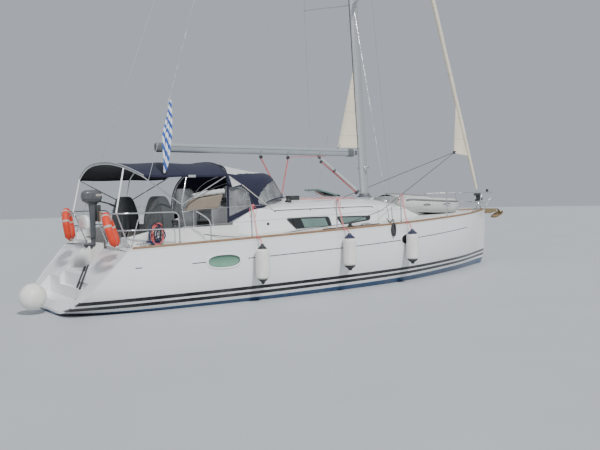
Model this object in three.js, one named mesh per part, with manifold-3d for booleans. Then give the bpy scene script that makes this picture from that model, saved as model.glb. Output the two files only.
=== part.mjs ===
// A 39-foot cruising sloop with a reverse transom, twin wheels, a bimini, a sprayhood and a furled genoa.
// Millimetres, +X to the bow, +Y to port, +Z up. Heights are above the waterline. Lengths forward are
// measured from the aft perpendicular, and the whole boat is then moved so that the origin is amidships.
import * as THREE from "three";
import { mergeVertices } from "three/addons/utils/BufferGeometryUtils.js";
import Module from "manifold-3d";

const wasm = await Module();
wasm.setup();

// Driving dimensions
const MIDSHIPS = 5825;
const GAP = 0.4; // between pieces that touch
const HULL_WALL = 30;
const DECK_THICKNESS = 36;
const DECK_CAMBER = 70;
const SHEER_AFT = 1060;
const SHEER_RISE = 0.0281; // of the length forward
const TRANSOM_FOOT = [-100, 80]; // x, z of the reverse transom's lower edge
const TRANSOM_HEAD = [800, 1060];
const MAST_FOOT = [7470, 1860]; // x, z
const MAST_RAKE = 0.0535; // aft, for each unit of height
const MASTHEAD_Z = 16900;
const BOOM_Z = 2910;
const BOOM_END = [2130, 2960];
const RAIL_RADIUS = 12.5;
const WIRE_RADIUS = 4;
const LIFELINE_RADIUS = 3;
const STANCHION_HEIGHT = 600;
const STANCHIONS = [3190, 5150, 6980, 8800]; // x of each pair
const GATE_POST = { x: 2260, lean: 65 };
const LIFELINE_DROP = 290; // of the lower line below the upper
const HELM_Y = 800;
const SIDES = { starboard: -1, port: 1 };

// Hull sections: x, half breadth at the sheer, height of the keel line, fullness of the section
const HULL_ROWS = [
  [-400, 1440, 60, 3.6],
  [600, 1600, -90, 3.9],
  [2000, 1780, -290, 3.3],
  [4000, 1915, -450, 3.05],
  [6000, 1920, -510, 2.8],
  [7500, 1780, -480, 2.65],
  [9000, 1420, -390, 2.35],
  [10000, 1050, -310, 2.2],
  [11000, 500, -190, 2.05],
  [11600, 120, 60, 1.9],
  [11750, 16, 1180, 1.6],
];
const HULL_STEPS = 2; // stations to each row of the table
const SECTION_POINTS = 9; // on each half section

// Coachroof sections: x, half breadth at its foot, half breadth and height of the roof's edge, crown height
const ROOF_ROWS = [
  [3150, 1270, 1120, 1690, 1875],
  [5000, 1240, 1060, 1700, 1890],
  [6900, 1120, 930, 1690, 1865],
  [8000, 930, 720, 1590, 1735],
  [8900, 690, 470, 1440, 1525],
  [9500, 420, 260, 1352, 1395],
];

// Window outlines in the coachroof's sides: x, z
const SIDE_WINDOWS = [
  [[4640, 1270], [5570, 1290], [5530, 1480], [4420, 1490]],
  [[5880, 1310], [6710, 1375], [6760, 1450], [5750, 1470]],
];

const FINISH = {
  gelcoat: { color: 0xe9ebeb, roughness: 0.25, metalness: 0 },
  deck: { color: 0xdedfdc, roughness: 0.5, metalness: 0 },
  teak: { color: 0x94704d, roughness: 0.6, metalness: 0 },
  antifouling: { color: 0x2a5d92, roughness: 0.7, metalness: 0 },
  bronze: { color: 0x9a7d4c, roughness: 0.4, metalness: 1 },
  aluminium: { color: 0xa9aeb0, roughness: 0.4, metalness: 1 },
  steel: { color: 0xc8cacc, roughness: 0.2, metalness: 1 },
  galvanised: { color: 0x6b5a4c, roughness: 0.7, metalness: 0.6 },
  acrylic: { color: 0x25302e, roughness: 0.1, metalness: 0 },
  navyCanvas: { color: 0x1c2145, roughness: 0.9, metalness: 0 },
  greyCanvas: { color: 0x42474b, roughness: 0.9, metalness: 0 },
  tanCanvas: { color: 0x8c7f70, roughness: 0.9, metalness: 0 },
  sailcloth: { color: 0xd9d2bf, roughness: 0.8, metalness: 0 },
  flagcloth: { color: 0x3456a8, roughness: 0.8, metalness: 0 },
  rubberised: { color: 0xb9bbb8, roughness: 0.6, metalness: 0 },
  fender: { color: 0xe8e8e4, roughness: 0.4, metalness: 0 },
  foam: { color: 0xd9401f, roughness: 0.7, metalness: 0 },
  darkPaint: { color: 0x2f3338, roughness: 0.4, metalness: 0 },
  engine: { color: 0x8a2a22, roughness: 0.6, metalness: 0 },
  joinery: { color: 0x8a5a3a, roughness: 0.5, metalness: 0 },
};

// A manifold solid from a three.js geometry, turned right side out
function solid(geometry) {
  const bare = geometry.clone();
  bare.deleteAttribute("normal");
  bare.deleteAttribute("uv");
  const merged = mergeVertices(bare, 1e-3);
  const index = merged.index.array;
  const whole = [];
  for (let i = 0; i < index.length; i += 3) {
    const [a, b, c] = [index[i], index[i + 1], index[i + 2]];
    if (a !== b && b !== c && a !== c) whole.push([a, b, c]);
  }
  const vertProperties = new Float32Array(merged.attributes.position.array);
  const make = (triangles) => {
    const triVerts = new Uint32Array(triangles.flat());
    return new wasm.Manifold(new wasm.Mesh({ numProp: 3, vertProperties, triVerts }));
  };
  const made = make(whole);
  return made.volume() < 0 ? make(whole.map(([a, b, c]) => [a, c, b])) : made;
}

// The largest single body of a solid
function largest(body) {
  return body.decompose().reduce((a, b) => (b.volume() > a.volume() ? b : a));
}

const join = (...bodies) => bodies.reduce((a, b) => a.add(b));
const cut = (body, ...tools) => tools.reduce((a, b) => a.subtract(b), body);

// A box between two corners
function box([x0, y0, z0], [x1, y1, z1]) {
  const g = new THREE.BoxGeometry(x1 - x0, y1 - y0, z1 - z0);
  g.translate((x0 + x1) / 2, (y0 + y1) / 2, (z0 + z1) / 2);
  return solid(g);
}

// An outline in x and z carried from y0 to y1
function prism(outline, y0, y1) {
  const shape = new THREE.Shape(outline.map(([x, z]) => new THREE.Vector2(x, z)));
  const g = new THREE.ExtrudeGeometry(shape, { depth: y1 - y0, bevelEnabled: false });
  g.rotateX(Math.PI / 2);
  g.translate(0, y1, 0);
  return solid(g);
}

// An outline in x and y carried from z0 to z1
function slab(outline, z0, z1) {
  const shape = new THREE.Shape(outline.map(([x, y]) => new THREE.Vector2(x, y)));
  const g = new THREE.ExtrudeGeometry(shape, { depth: z1 - z0, bevelEnabled: false });
  g.translate(0, 0, z0);
  return solid(g);
}

// A surface of rings of points, joined ring to ring, with a fan over each end
function loft(rings) {
  const n = rings[0].length;
  const points = rings.flat();
  const index = [];
  for (let i = 0; i + 1 < rings.length; i++) {
    for (let j = 0; j < n; j++) {
      const [a, b] = [i * n + j, i * n + ((j + 1) % n)];
      index.push(a, b, b + n, a, b + n, a + n);
    }
  }
  for (const [first, flip] of [[0, true], [(rings.length - 1) * n, false]]) {
    const ring = points.slice(first, first + n);
    const middle = [0, 1, 2].map((k) => ring.reduce((s, p) => s + p[k], 0) / n);
    const centre = points.push(middle) - 1;
    for (let j = 0; j < n; j++) {
      const [a, b] = [first + j, first + ((j + 1) % n)];
      index.push(centre, flip ? b : a, flip ? a : b);
    }
  }
  const g = new THREE.BufferGeometry();
  g.setAttribute("position", new THREE.Float32BufferAttribute(points.flat(), 3));
  g.setIndex(index);
  return solid(g);
}

// A round bar along straight runs between points
function pipe(points, radius, sides = 8) {
  const path = points.map((p) => new THREE.Vector3(...p));
  const last = path.length - 1;
  const normal = new THREE.Vector3();
  const rings = path.map((p, i) => {
    const ahead = path[Math.min(i + 1, last)];
    const behind = path[Math.max(i - 1, 0)];
    const tangent = ahead.clone().sub(behind).normalize();
    if (i === 0) normal.set(0, Math.abs(tangent.y) < 0.9 ? 1 : 0, Math.abs(tangent.y) < 0.9 ? 0 : 1);
    normal.addScaledVector(tangent, -normal.dot(tangent)).normalize();
    const side = tangent.clone().cross(normal);
    return Array.from({ length: sides }, (_, k) => {
      const turn = (2 * Math.PI * k) / sides;
      return p
        .clone()
        .addScaledVector(normal, radius * Math.cos(turn))
        .addScaledVector(side, radius * Math.sin(turn))
        .toArray();
    });
  });
  return loft(rings);
}

// The points of a path with each inner corner rounded by a short arc
function rounded(points, radius, steps = 3) {
  const out = [points[0]];
  for (let i = 1; i + 1 < points.length; i++) {
    const [before, corner, after] = points.slice(i - 1, i + 2).map((p) => new THREE.Vector3(...p));
    const reach = (q) => Math.min(radius, q.distanceTo(corner) * 0.45);
    const a = corner.clone().lerp(before, reach(before) / before.distanceTo(corner));
    const b = corner.clone().lerp(after, reach(after) / after.distanceTo(corner));
    const bend = new THREE.QuadraticBezierCurve3(a, corner, b);
    out.push(...bend.getPoints(steps).map((p) => p.toArray()));
  }
  out.push(points[points.length - 1]);
  return out;
}

// A profile of radius and height turned about a vertical axis at x, y
function turned(profile, [x, y, z], segments = 20) {
  const g = new THREE.LatheGeometry(profile.map(([r, h]) => new THREE.Vector2(r, h)), segments);
  g.rotateX(Math.PI / 2);
  g.translate(x, y, z);
  return solid(g);
}

// A closed sheet of even thickness about a grid of points
function sheet(grid, thickness) {
  const rows = grid.length;
  const columns = grid[0].length;
  const at = (i, j) => new THREE.Vector3(...grid[i][j]);
  const faces = [1, -1].map((face) =>
    grid.map((row, i) =>
      row.map((_, j) => {
        const u = at(Math.min(i + 1, rows - 1), j).sub(at(Math.max(i - 1, 0), j));
        const v = at(i, Math.min(j + 1, columns - 1)).sub(at(i, Math.max(j - 1, 0)));
        return at(i, j).addScaledVector(u.cross(v).normalize(), (face * thickness) / 2).toArray();
      }),
    ),
  );
  const points = faces.flat(2);
  const id = (face, i, j) => face * rows * columns + i * columns + j;
  const index = [];
  const quad = (a, b, c, d) => index.push(a, b, c, a, c, d);
  for (let i = 0; i + 1 < rows; i++) {
    for (let j = 0; j + 1 < columns; j++) {
      quad(id(0, i, j), id(0, i + 1, j), id(0, i + 1, j + 1), id(0, i, j + 1));
      quad(id(1, i, j), id(1, i, j + 1), id(1, i + 1, j + 1), id(1, i + 1, j));
    }
    const end = columns - 1;
    quad(id(0, i, 0), id(1, i, 0), id(1, i + 1, 0), id(0, i + 1, 0));
    quad(id(0, i, end), id(0, i + 1, end), id(1, i + 1, end), id(1, i, end));
  }
  for (let j = 0; j + 1 < columns; j++) {
    const end = rows - 1;
    quad(id(0, 0, j), id(0, 0, j + 1), id(1, 0, j + 1), id(1, 0, j));
    quad(id(0, end, j), id(1, end, j), id(1, end, j + 1), id(0, end, j + 1));
  }
  const g = new THREE.BufferGeometry();
  g.setAttribute("position", new THREE.Float32BufferAttribute(points.flat(), 3));
  g.setIndex(index);
  return solid(g);
}

// A smooth row of a table at a place counted in rows, by Catmull-Rom through its neighbours
function rowAt(rows, place) {
  const i = Math.min(Math.floor(place), rows.length - 2);
  const t = place - i;
  const pick = (k) => rows[Math.max(0, Math.min(rows.length - 1, k))];
  const [a, b, c, d] = [pick(i - 1), pick(i), pick(i + 1), pick(i + 2)];
  return b.map((_, k) => {
    const m0 = (c[k] - a[k]) / 2;
    const m1 = (d[k] - b[k]) / 2;
    const [t2, t3] = [t * t, t * t * t];
    return (2 * t3 - 3 * t2 + 1) * b[k] + (t3 - 2 * t2 + t) * m0 + (3 * t2 - 2 * t3) * c[k] + (t3 - t2) * m1;
  });
}

// The same table at a length forward, found by halving
function rowAtX(rows, x) {
  let [low, high] = [0, rows.length - 1];
  for (let k = 0; k < 30; k++) {
    const middle = (low + high) / 2;
    if (rowAt(rows, middle)[0] < x) low = middle;
    else high = middle;
  }
  return rowAt(rows, (low + high) / 2);
}

const sheerZ = (x) => SHEER_AFT + SHEER_RISE * x;
const sheerY = (x) => rowAtX(HULL_ROWS, x)[1];
const deckZ = (x, y) => {
  const half = Math.max(sheerY(x), 1);
  return sheerZ(x) + GAP + DECK_THICKNESS + DECK_CAMBER * (half / 1920) * (1 - Math.min(1, (y / half) ** 2));
};
const mastX = (z) => MAST_FOOT[0] - (z - MAST_FOOT[1]) * MAST_RAKE;

// The hull's volume, drawn in by a margin all round, with its open top raised
function hullVolume(margin, raise) {
  const rings = [];
  const places = (HULL_ROWS.length - 1) * HULL_STEPS;
  for (let k = 0; k <= places; k++) {
    const [x, halfBreadth, keelZ, fullness] = rowAt(HULL_ROWS, k / HULL_STEPS);
    const b = Math.max(halfBreadth - margin, 4);
    const top = sheerZ(x);
    const bottom = Math.min(keelZ + margin, top - 20);
    const half = Array.from({ length: SECTION_POINTS + 1 }, (_, j) => {
      const turn = (Math.PI / 2) * (j / SECTION_POINTS);
      const power = 2 / fullness;
      return [b * Math.sin(turn) ** power, top - (top - bottom) * Math.cos(turn) ** power];
    });
    const starboard = half.slice(1).reverse().map(([y, z]) => [x, -y, z]);
    const port = half.map(([y, z]) => [x, y, z]);
    const lip = raise > 0 ? [[x, b, top + raise], [x, -b, top + raise]] : [];
    rings.push([...starboard, ...port, ...lip]);
  }
  return loft(rings);
}

// Everything that the reverse transom cuts away, moved forward by a margin
function transomCut(margin) {
  const [foot, head] = [TRANSOM_FOOT, TRANSOM_HEAD];
  const slope = (head[0] - foot[0]) / (head[1] - foot[1]);
  const outline = [
    [-2000, -900],
    [foot[0] + margin, -900],
    [foot[0] + margin, foot[1]],
    [foot[0] + margin + slope * 1400, foot[1] + 1400],
    [-2000, foot[1] + 1400],
  ];
  return prism(outline, -2500, 2500);
}

// The deck plate before its openings are cut, following the sheer and cambered across
function deckPlate(margin, under) {
  const rings = [];
  const across = 8;
  for (let k = 1; k <= (HULL_ROWS.length - 1) * HULL_STEPS; k++) {
    const [x, halfBreadth] = rowAt(HULL_ROWS, k / HULL_STEPS);
    const b = Math.max(halfBreadth - margin, 4);
    const row = Array.from({ length: across + 1 }, (_, j) => -b + (2 * b * j) / across);
    const top = row.map((y) => [x, y, deckZ(x, y)]);
    const bottom = row.map((y) => [x, y, deckZ(x, y) - under]).reverse();
    rings.push([...top, ...bottom]);
  }
  return loft(rings);
}

// The coachroof's volume, drawn in by a margin
function roofVolume(margin, foot) {
  const rings = [];
  const steps = 2;
  for (let k = 0; k <= (ROOF_ROWS.length - 1) * steps; k++) {
    const [x, base, edge, edgeZ, crownZ] = rowAt(ROOF_ROWS, k / steps);
    const [b, e] = [base - margin, edge - margin];
    const across = [1, 0.75, 0.45, 0.15];
    const right = across.map((f) => [x, -e * f, edgeZ - margin + (crownZ - edgeZ) * (1 - f * f)]);
    const left = [...right].reverse().map(([px, y, z]) => [px, -y, z]);
    rings.push([[x, -b, foot], ...right, ...left, [x, b, foot]]);
  }
  return loft(rings);
}

// Shared volumes that other pieces are trimmed with
const outerHull = hullVolume(0, 0);
const innerHull = hullVolume(HULL_WALL, 300);
const berthSpace = hullVolume(HULL_WALL + 2, 0);
const solidDeck = deckPlate(0, DECK_THICKNESS);
const deckGrown = grown(solidDeck);
const deckAndBelow = deckPlate(0, 900).translate(0, 0, GAP);
const roofSolid = cut(roofVolume(0, 900), deckAndBelow);
const roofHollow = cut(roofVolume(25, 800), box([0, -2000, 0], [3180, 2000, 3000]));
const PORTHOLE = { x: [2240, 2890], z: [690, 940] };
const COCKPIT = {
  x: [900, 3145],
  half: 1390, // half breadths: outer and inner faces of the coamings, the helm's well, the footwell
  inner: 1130,
  wide: 1270,
  foot: 480,
  sole: 640, // heights
  helm: 700,
  seat: 1020,
};
const STOCK = { x: 1350, radius: 40 };

// Hull shell with the rudder stock's hole and a porthole in each side
function hullShell() {
  const { x, z } = PORTHOLE;
  const porthole = box([x[0], -2500, z[0]], [x[1], 2500, z[1]]);
  const stockHole = pipe([[STOCK.x, 0, -900], [STOCK.x, 0, 400]], STOCK.radius + 8, 16);
  return largest(cut(outerHull, innerHull, transomCut(0), porthole, stockHole));
}

// Stern block inside the shell, with the platform and steps that lead up to the cockpit
function transomMoulding() {
  const inner = hullVolume(HULL_WALL + GAP, 0);
  const forward = box([COCKPIT.x[0] - GAP, -2500, -900], [13000, 2500, 3000]);
  const steps = [
    [-900, 200],
    [150, 200],
    [150, 410],
    [420, 410],
    [420, COCKPIT.helm],
    [1200, COCKPIT.helm],
    [1200, 2000],
    [-900, 2000],
  ];
  const recess = prism(steps, -COCKPIT.foot, COCKPIT.foot);
  const platform = prism([[-900, 200], [330, 200], [330, 620], [700, 1300], [-900, 1300]], -1080, 1080);
  return largest(cut(inner, transomCut(0), forward, recess, platform));
}

const COACHROOF_OPENING = [
  [3230, -1120], [5000, -1080], [6900, -960], [8000, -760], [8800, -520],
  [8800, 520], [8000, 760], [6900, 960], [5000, 1080], [3230, 1120],
];
const ANCHOR_LOCKER = { x: [10700, 11300], half: [210, 150], clearance: 9 };

// Outline of the anchor locker's opening, drawn in by a margin
function lockerOutline(margin) {
  const { x, half } = ANCHOR_LOCKER;
  const [a, b] = [x[0] + margin, x[1] - margin];
  return [[a, -half[0] + margin], [b, -half[1] + margin], [b, half[1] - margin], [a, half[0] - margin]];
}

// Side decks and foredeck in one plate
function deck() {
  const { x, half, foot } = COCKPIT;
  const well = box([x[0] - GAP, -half - GAP, 0], [x[1] + GAP, half + GAP, 3000]);
  const walkway = box([-500, -foot, 0], [x[0] + 10, foot, 3000]);
  const cabin = slab(COACHROOF_OPENING, 0, 3000);
  const locker = slab(lockerOutline(0), 0, 3000);
  return largest(cut(solidDeck, transomCut(0), well, walkway, cabin, locker));
}

const COMPANIONWAY = { half: 310, sill: 1260, aft: 3150, forward: 3900 };
const SALOON_HATCH = { x: [5880, 6500], half: 280, lift: 16, thickness: 40, open: 14 };

// Coachroof shell with its windows, companionway and hatch cut
function coachroof() {
  const windows = SIDE_WINDOWS.map((outline) => prism(outline, -2000, 2000));
  const { half, sill, aft, forward } = COMPANIONWAY;
  const doorway = box([aft - 200, -half, sill], [forward, half, 2500]);
  const { x, half: hatchHalf } = SALOON_HATCH;
  const hatch = box([x[0] + 40, -hatchHalf + 40, 1500], [x[1] - 40, hatchHalf - 40, 2500]);
  return largest(cut(roofSolid, roofHollow, ...windows, doorway, hatch));
}

// One long pane behind the windows of a side
function sidePane(side) {
  const [aftWindow, foreWindow] = SIDE_WINDOWS;
  const outline = [
    [aftWindow[0][0] - 60, 1235],
    [foreWindow[1][0] + 40, 1340],
    [foreWindow[2][0] + 60, 1490],
    [aftWindow[3][0] - 60, 1530],
  ];
  const wall = cut(roofVolume(25 + GAP, 800), roofVolume(36, 800));
  const pane = wall.intersect(prism(outline, side > 0 ? 300 : -2000, side > 0 ? 2000 : -300));
  return largest(cut(pane, deckAndBelow));
}

// A pane just inside the hull's porthole
function portholePane(side) {
  const { x, z } = PORTHOLE;
  const y = side > 0 ? [1000, 2500] : [-2500, -1000];
  const wall = cut(hullVolume(6, 0), hullVolume(22, 300));
  return largest(wall.intersect(box([x[0] + 1, y[0], z[0] + 1], [x[1] - 1, y[1], z[1] - 1])));
}

const LOCKER_LID = { x: [2080, 2980], y: [580, 1080], thickness: 20, depth: 260 };

// Cockpit well with its seats, coamings and the lockers under the seats
function cockpit() {
  const { x, half, inner, wide, foot, sole, helm, seat } = COCKPIT;
  const block = box([x[0], -half, 560], [x[1], half, 1200]);
  const coamingSide = [
    [x[0], 1190], [x[1], 1190], [x[1], 1430], [1500, 1420], [x[0], 1300],
  ];
  const coamings = [prism(coamingSide, inner, half), prism(coamingSide, -half, -inner)];
  const front = box([x[1] - 45, -half, 1100], [x[1], half, 1225]);
  const well = box([1900, -inner, seat], [x[1] - 45, inner, 3000]);
  const helmWell = box([x[0] + 60, -wide, helm], [1830, wide, 3000]);
  const helmPassage = box([1820, -inner, helm], [1901, inner, 3000]);
  const footwell = box([x[0] + 60, -foot, sole], [x[1] - 45, foot, 3000]);
  const gangway = box([x[0] - 10, -foot, helm], [x[0] + 100, foot, 3000]);
  const seats = [-1, 1].map((s) => {
    const y = s > 0 ? [foot + 60, wide] : [-wide, -foot - 60];
    return box([x[0], y[0] - 1, helm - 1], [x[0] + 330, y[1] + 1, 1120]);
  });
  const lockers = [-1, 1].flatMap((s) => {
    const { x: lx, y: ly, thickness, depth } = LOCKER_LID;
    const span = (grow) => (s > 0 ? [ly[0] - grow, ly[1] + grow] : [-ly[1] - grow, -ly[0] + grow]);
    const [rest, hole] = [span(2), span(-25)];
    return [
      box([lx[0] - 2, rest[0], seat - thickness - 2], [lx[1] + 2, rest[1], seat + 10]),
      box([lx[0] + 25, hole[0], seat - depth], [lx[1] - 25, hole[1], seat + 10]),
    ];
  });
  const shell = cut(join(block, ...coamings, front), well, helmWell, helmPassage, footwell, gangway);
  const body = join(shell, ...seats);
  return largest(cut(body, ...lockers, roofSolid.translate(-GAP, 0, 0)));
}

// A seat locker's lid, lying in its rebate
function lockerLid(side) {
  const { x, y, thickness } = LOCKER_LID;
  const span = side > 0 ? y : [-y[1], -y[0]];
  return box([x[0], span[0], COCKPIT.seat - thickness], [x[1], span[1], COCKPIT.seat]);
}

// The anchor locker's lid, lying in the deck
function anchorLockerLid() {
  const plate = deckPlate(0, 24).intersect(slab(lockerOutline(ANCHOR_LOCKER.clearance), 0, 3000));
  return largest(plate);
}

// Drop-in board that closes the companionway
function washboard() {
  const { half, sill, aft } = COMPANIONWAY;
  return box([aft + 4, -half + 3, sill + 3], [aft + 24, half - 3, 1865]);
}

// Sliding hatch over the companionway, above the roof's crown
function companionwayHatch() {
  const { half, aft, forward } = COMPANIONWAY;
  const [low, high] = [1901, 1935];
  const y = half + 50;
  const plate = box([aft - 30, -y, low], [forward + 40, y, high]);
  const lip = box([aft - 30, -y, 1880], [aft - 8, y, low + 1]);
  return join(plate, lip);
}

// The saloon hatch's lid, hinged at its forward edge and propped open
function saloonHatch() {
  const { x, half, lift, thickness, open } = SALOON_HATCH;
  const z = 1875 + lift;
  const lid = box([x[0], -half, z], [x[1], half, z + thickness]);
  const turn = (open * Math.PI) / 180;
  const place = new THREE.Matrix4()
    .makeTranslation(x[1], 0, z)
    .multiply(new THREE.Matrix4().makeRotationY(turn))
    .multiply(new THREE.Matrix4().makeTranslation(-x[1], 0, -z));
  return lid.transform(place.elements);
}

// Cabin sole, settee fronts, galley block and main bulkhead, inside the hull
function cabinInterior() {
  const sole = box([4050, -1150, -170], [9200, 1150, -130]);
  const bulkhead = box([6900, -1900, -160], [6930, 1900, 1120]);
  const doorway = box([6800, -300, -120], [7000, 300, 1200]);
  const settees = [-1, 1].map((s) => {
    const y = s > 0 ? [700, 1700] : [-1700, -700];
    return box([4500, y[0], -140], [6905, y[1], 330]);
  });
  const berth = box([7600, -900, -140], [9190, 900, 420]);
  const rough = join(sole, cut(bulkhead, doorway), ...settees, berth);
  return largest(rough.intersect(berthSpace));
}

// Cast fin with a bulb at its foot
function keel() {
  const foil = (x0, chord, half, z) => {
    const shape = [[0, 0], [0.06, 0.55], [0.25, 1], [0.5, 0.9], [0.8, 0.4], [1, 0.04]];
    const right = shape.map(([u, v]) => [x0 + chord - u * chord, -v * half, z]);
    const left = shape.slice(1).reverse().map(([u, v]) => [x0 + chord - u * chord, v * half, z]);
    return [...right, ...left];
  };
  const fin = loft([foil(5150, 1500, 95, -380), foil(5550, 1000, 75, -1780)]);
  const bulb = new THREE.SphereGeometry(1, 16, 10);
  bulb.scale(950, 190, 145);
  bulb.translate(5980, 0, -1805);
  const below = outerHull.translate(0, 0, -GAP);
  return largest(cut(join(fin, solid(bulb)), below));
}

// Spade rudder on its stock
function rudder() {
  const section = (lead, chord, half, z) => {
    const shape = [[0, 0], [0.12, 0.8], [0.3, 1], [0.7, 0.55], [1, 0.04]];
    const right = shape.map(([u, v]) => [lead - u * chord, -v * half, z]);
    const left = shape.slice(1).reverse().map(([u, v]) => [lead - u * chord, v * half, z]);
    return [...right, ...left];
  };
  const blade = loft([section(STOCK.x + 160, 660, 48, -330), section(STOCK.x + 60, 430, 34, -1720)]);
  return join(blade, pipe([[STOCK.x, 0, -400], [STOCK.x, 0, 380]], STOCK.radius, 14));
}

const PROPELLER = { x: 2960, z: -840, radius: 225 };

// Leg under the hull with its gearcase
function saildrive() {
  const port = [[3120, 40], [3260, 70], [3420, 50]];
  const starboard = port.map(([x, y]) => [x, -y]);
  const leg = slab([...starboard, [3480, 0], ...port.reverse()], PROPELLER.z - 20, -300);
  const gearcase = new THREE.CylinderGeometry(75, 60, 430, 14);
  gearcase.rotateZ(Math.PI / 2);
  gearcase.translate(3245, 0, PROPELLER.z);
  const below = outerHull.translate(0, 0, -GAP);
  return largest(cut(join(leg, solid(gearcase)), below));
}

// Hub and three blades
function propeller() {
  const hub = new THREE.CylinderGeometry(56, 34, 120, 14);
  hub.rotateZ(Math.PI / 2);
  const blades = [0, 1, 2].map((k) => {
    const blade = new THREE.CylinderGeometry(78, 40, PROPELLER.radius - 40, 10);
    blade.scale(1, 1, 0.09);
    blade.translate(0, (PROPELLER.radius + 40) / 2, 0);
    blade.rotateY(0.9);
    blade.rotateX((2 * Math.PI * k) / 3);
    return solid(blade);
  });
  return join(solid(hub), ...blades).translate(PROPELLER.x, 0, PROPELLER.z);
}

// The mast's extrusion with both pairs of spreaders
const SPREADERS = [
  { z: 6350, half: 1180, sweep: 520 },
  { z: 11300, half: 900, sweep: 400 },
];
const MAST_HALF = { fore: 118, side: 68 };

function mastSection(z, scale) {
  return Array.from({ length: 14 }, (_, k) => {
    const turn = (2 * Math.PI * k) / 14;
    return [
      mastX(z) + MAST_HALF.fore * scale * Math.cos(turn),
      MAST_HALF.side * scale * Math.sin(turn),
      z,
    ];
  });
}

function spreaderTip({ z, half, sweep }, side) {
  return [mastX(z) - sweep, side * half, z + 60];
}

function mast() {
  const foot = MAST_FOOT[1] + 14;
  const tube = loft([mastSection(foot, 1), mastSection(15500, 1), mastSection(MASTHEAD_Z, 0.78)]);
  const arms = SPREADERS.flatMap((pair) =>
    Object.values(SIDES).map((side) => {
      const root = [mastX(pair.z), side * 20, pair.z];
      return pipe([root, spreaderTip(pair, side)], 26, 6);
    }),
  );
  const top = mastX(MASTHEAD_Z);
  const crane = box([top - 170, -24, MASTHEAD_Z - 40], [top + 130, 24, MASTHEAD_Z + 30]);
  const step = box([mastX(foot) - 170, -110, foot - 14 + GAP], [mastX(foot) + 170, 110, foot + 6]);
  const { lug, pin } = GOOSENECK;
  const lugs = [-1, 1].map((s) => {
    const [x, , z] = gooseneckAt(s * lug.height);
    return box([x - lug.half, -lug.half, z - 7], [x + 90, lug.half, z + 7]);
  });
  const bolt = pipe([gooseneckAt(-lug.height), gooseneckAt(lug.height)], pin, 12);
  const [vangX, vangZ] = VANG.low;
  const tang = box([vangX - 28, -24, vangZ - 60], [vangX + 80, 24, vangZ - 38]);
  return join(tube, ...arms, crane, cut(step, roofSolid.translate(0, 0, GAP)), ...lugs, bolt, tang);
}

const CHAINPLATE = { x: 7020, y: 1450 };
const TURNBUCKLE = { length: 330, radius: 11 };

// Cap shroud over the spreader tips and the two lowers, from one chainplate
function shrouds(side) {
  const { x, y } = CHAINPLATE;
  const base = [x, side * y, deckZ(x, y) + 10];
  const head = [mastX(16300) - 20, side * 72, 16300];
  const [low, high] = SPREADERS.map((pair) => spreaderTip(pair, side));
  const outside = ([px, py, pz]) => [px, py + side * 34, pz];
  const cap = pipe([base, outside(low), outside(high), head], WIRE_RADIUS, 6);
  const lowerHead = [mastX(6150) - 30, side * 76, 6150];
  const lower = pipe([[x - 60, side * (y - 40), base[2]], lowerHead], WIRE_RADIUS, 6);
  const diagonalHead = [mastX(11150) - 30, side * 76, 11150];
  const diagonal = pipe([[low[0], low[1] + side * 34, low[2]], diagonalHead], WIRE_RADIUS, 6);
  const plate = box([x - 90, side * (y - 20) - 35, base[2] - 9], [x + 40, side * (y - 20) + 35, base[2] + 6]);
  const screws = [[0, 0], [-60, -40]].map(([dx, dy]) => {
    const foot = [x + dx, side * (y + dy), base[2]];
    const aim = dx ? lowerHead : outside(low);
    const reach = TURNBUCKLE.length / Math.hypot(...aim.map((v, k) => v - foot[k]));
    return pipe([foot, aim.map((v, k) => foot[k] + (v - foot[k]) * reach)], TURNBUCKLE.radius, 6);
  });
  return largest(cut(join(cap, lower, diagonal, plate, ...screws), deckGrown, mastGrown));
}

const TOE_RAIL = { aft: 900, forward: 11600, stations: 26, width: 40, height: 42 };
const BACKSTAY_FOOT = { x: 950, y: 1470 };

// Two backstays from the masthead to the quarters
function backstays() {
  const head = [mastX(MASTHEAD_Z) - 185, 0, MASTHEAD_Z - 5];
  const { x, y } = BACKSTAY_FOOT;
  const legs = Object.values(SIDES).map((side) => {
    const foot = [x, side * y, deckZ(x, y) + 1];
    const start = [head[0], side * 6, head[2]];
    const along = start.map((v, k) => foot[k] + (v - foot[k]) * 0.03);
    return join(pipe([foot, start], WIRE_RADIUS, 6), pipe([foot, along], 12, 6));
  });
  const tang = box([head[0] - 12, -16, head[2] - 20], [head[0] + 14, 16, head[2] + 16]);
  return cut(join(...legs, tang), deckGrown);
}

const FORESTAY = { foot: [11600, 0, 1480], head: [mastX(16200) + 135, 0, 16200] };
const stayAt = (z) => {
  const { foot, head } = FORESTAY;
  const t = (z - foot[2]) / (head[2] - foot[2]);
  return [foot[0] + (head[0] - foot[0]) * t, 0, z];
};

// The genoa rolled on its foil with the clew's corner left flying, and the furling drum at its foot
function furledGenoa() {
  const roll = pipe([stayAt(1990), stayAt(2300), stayAt(9000), stayAt(15700)], 48, 12);
  const corner = [[stayAt(2700)[0] - 20, 2700], [10580, 2940], [stayAt(4250)[0] - 20, 4250]];
  const head = pipe([stayAt(15600), FORESTAY.head], WIRE_RADIUS + 2, 6);
  return join(roll, prism(corner, -7, 7), head, furlerDrum());
}

// Drum and tack fitting at the stay's foot
function furlerDrum() {
  const drum = pipe([stayAt(1700), stayAt(1860)], 95, 16);
  const neck = pipe([stayAt(1475), stayAt(2020)], 22, 8);
  const guard = pipe([stayAt(1850), stayAt(1880)], 108, 16);
  return join(drum, neck, guard);
}

const GOOSENECK = {
  x: mastX(BOOM_Z) - MAST_HALF.fore - 60,
  knuckle: { half: 60, radius: 22 },
  pin: 10,
  lug: { half: 26, height: 73 },
};

// A point of the gooseneck's raked pin, at a height above the boom's
const gooseneckAt = (up) => [GOOSENECK.x - up * MAST_RAKE, 0, BOOM_Z + up];

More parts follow.
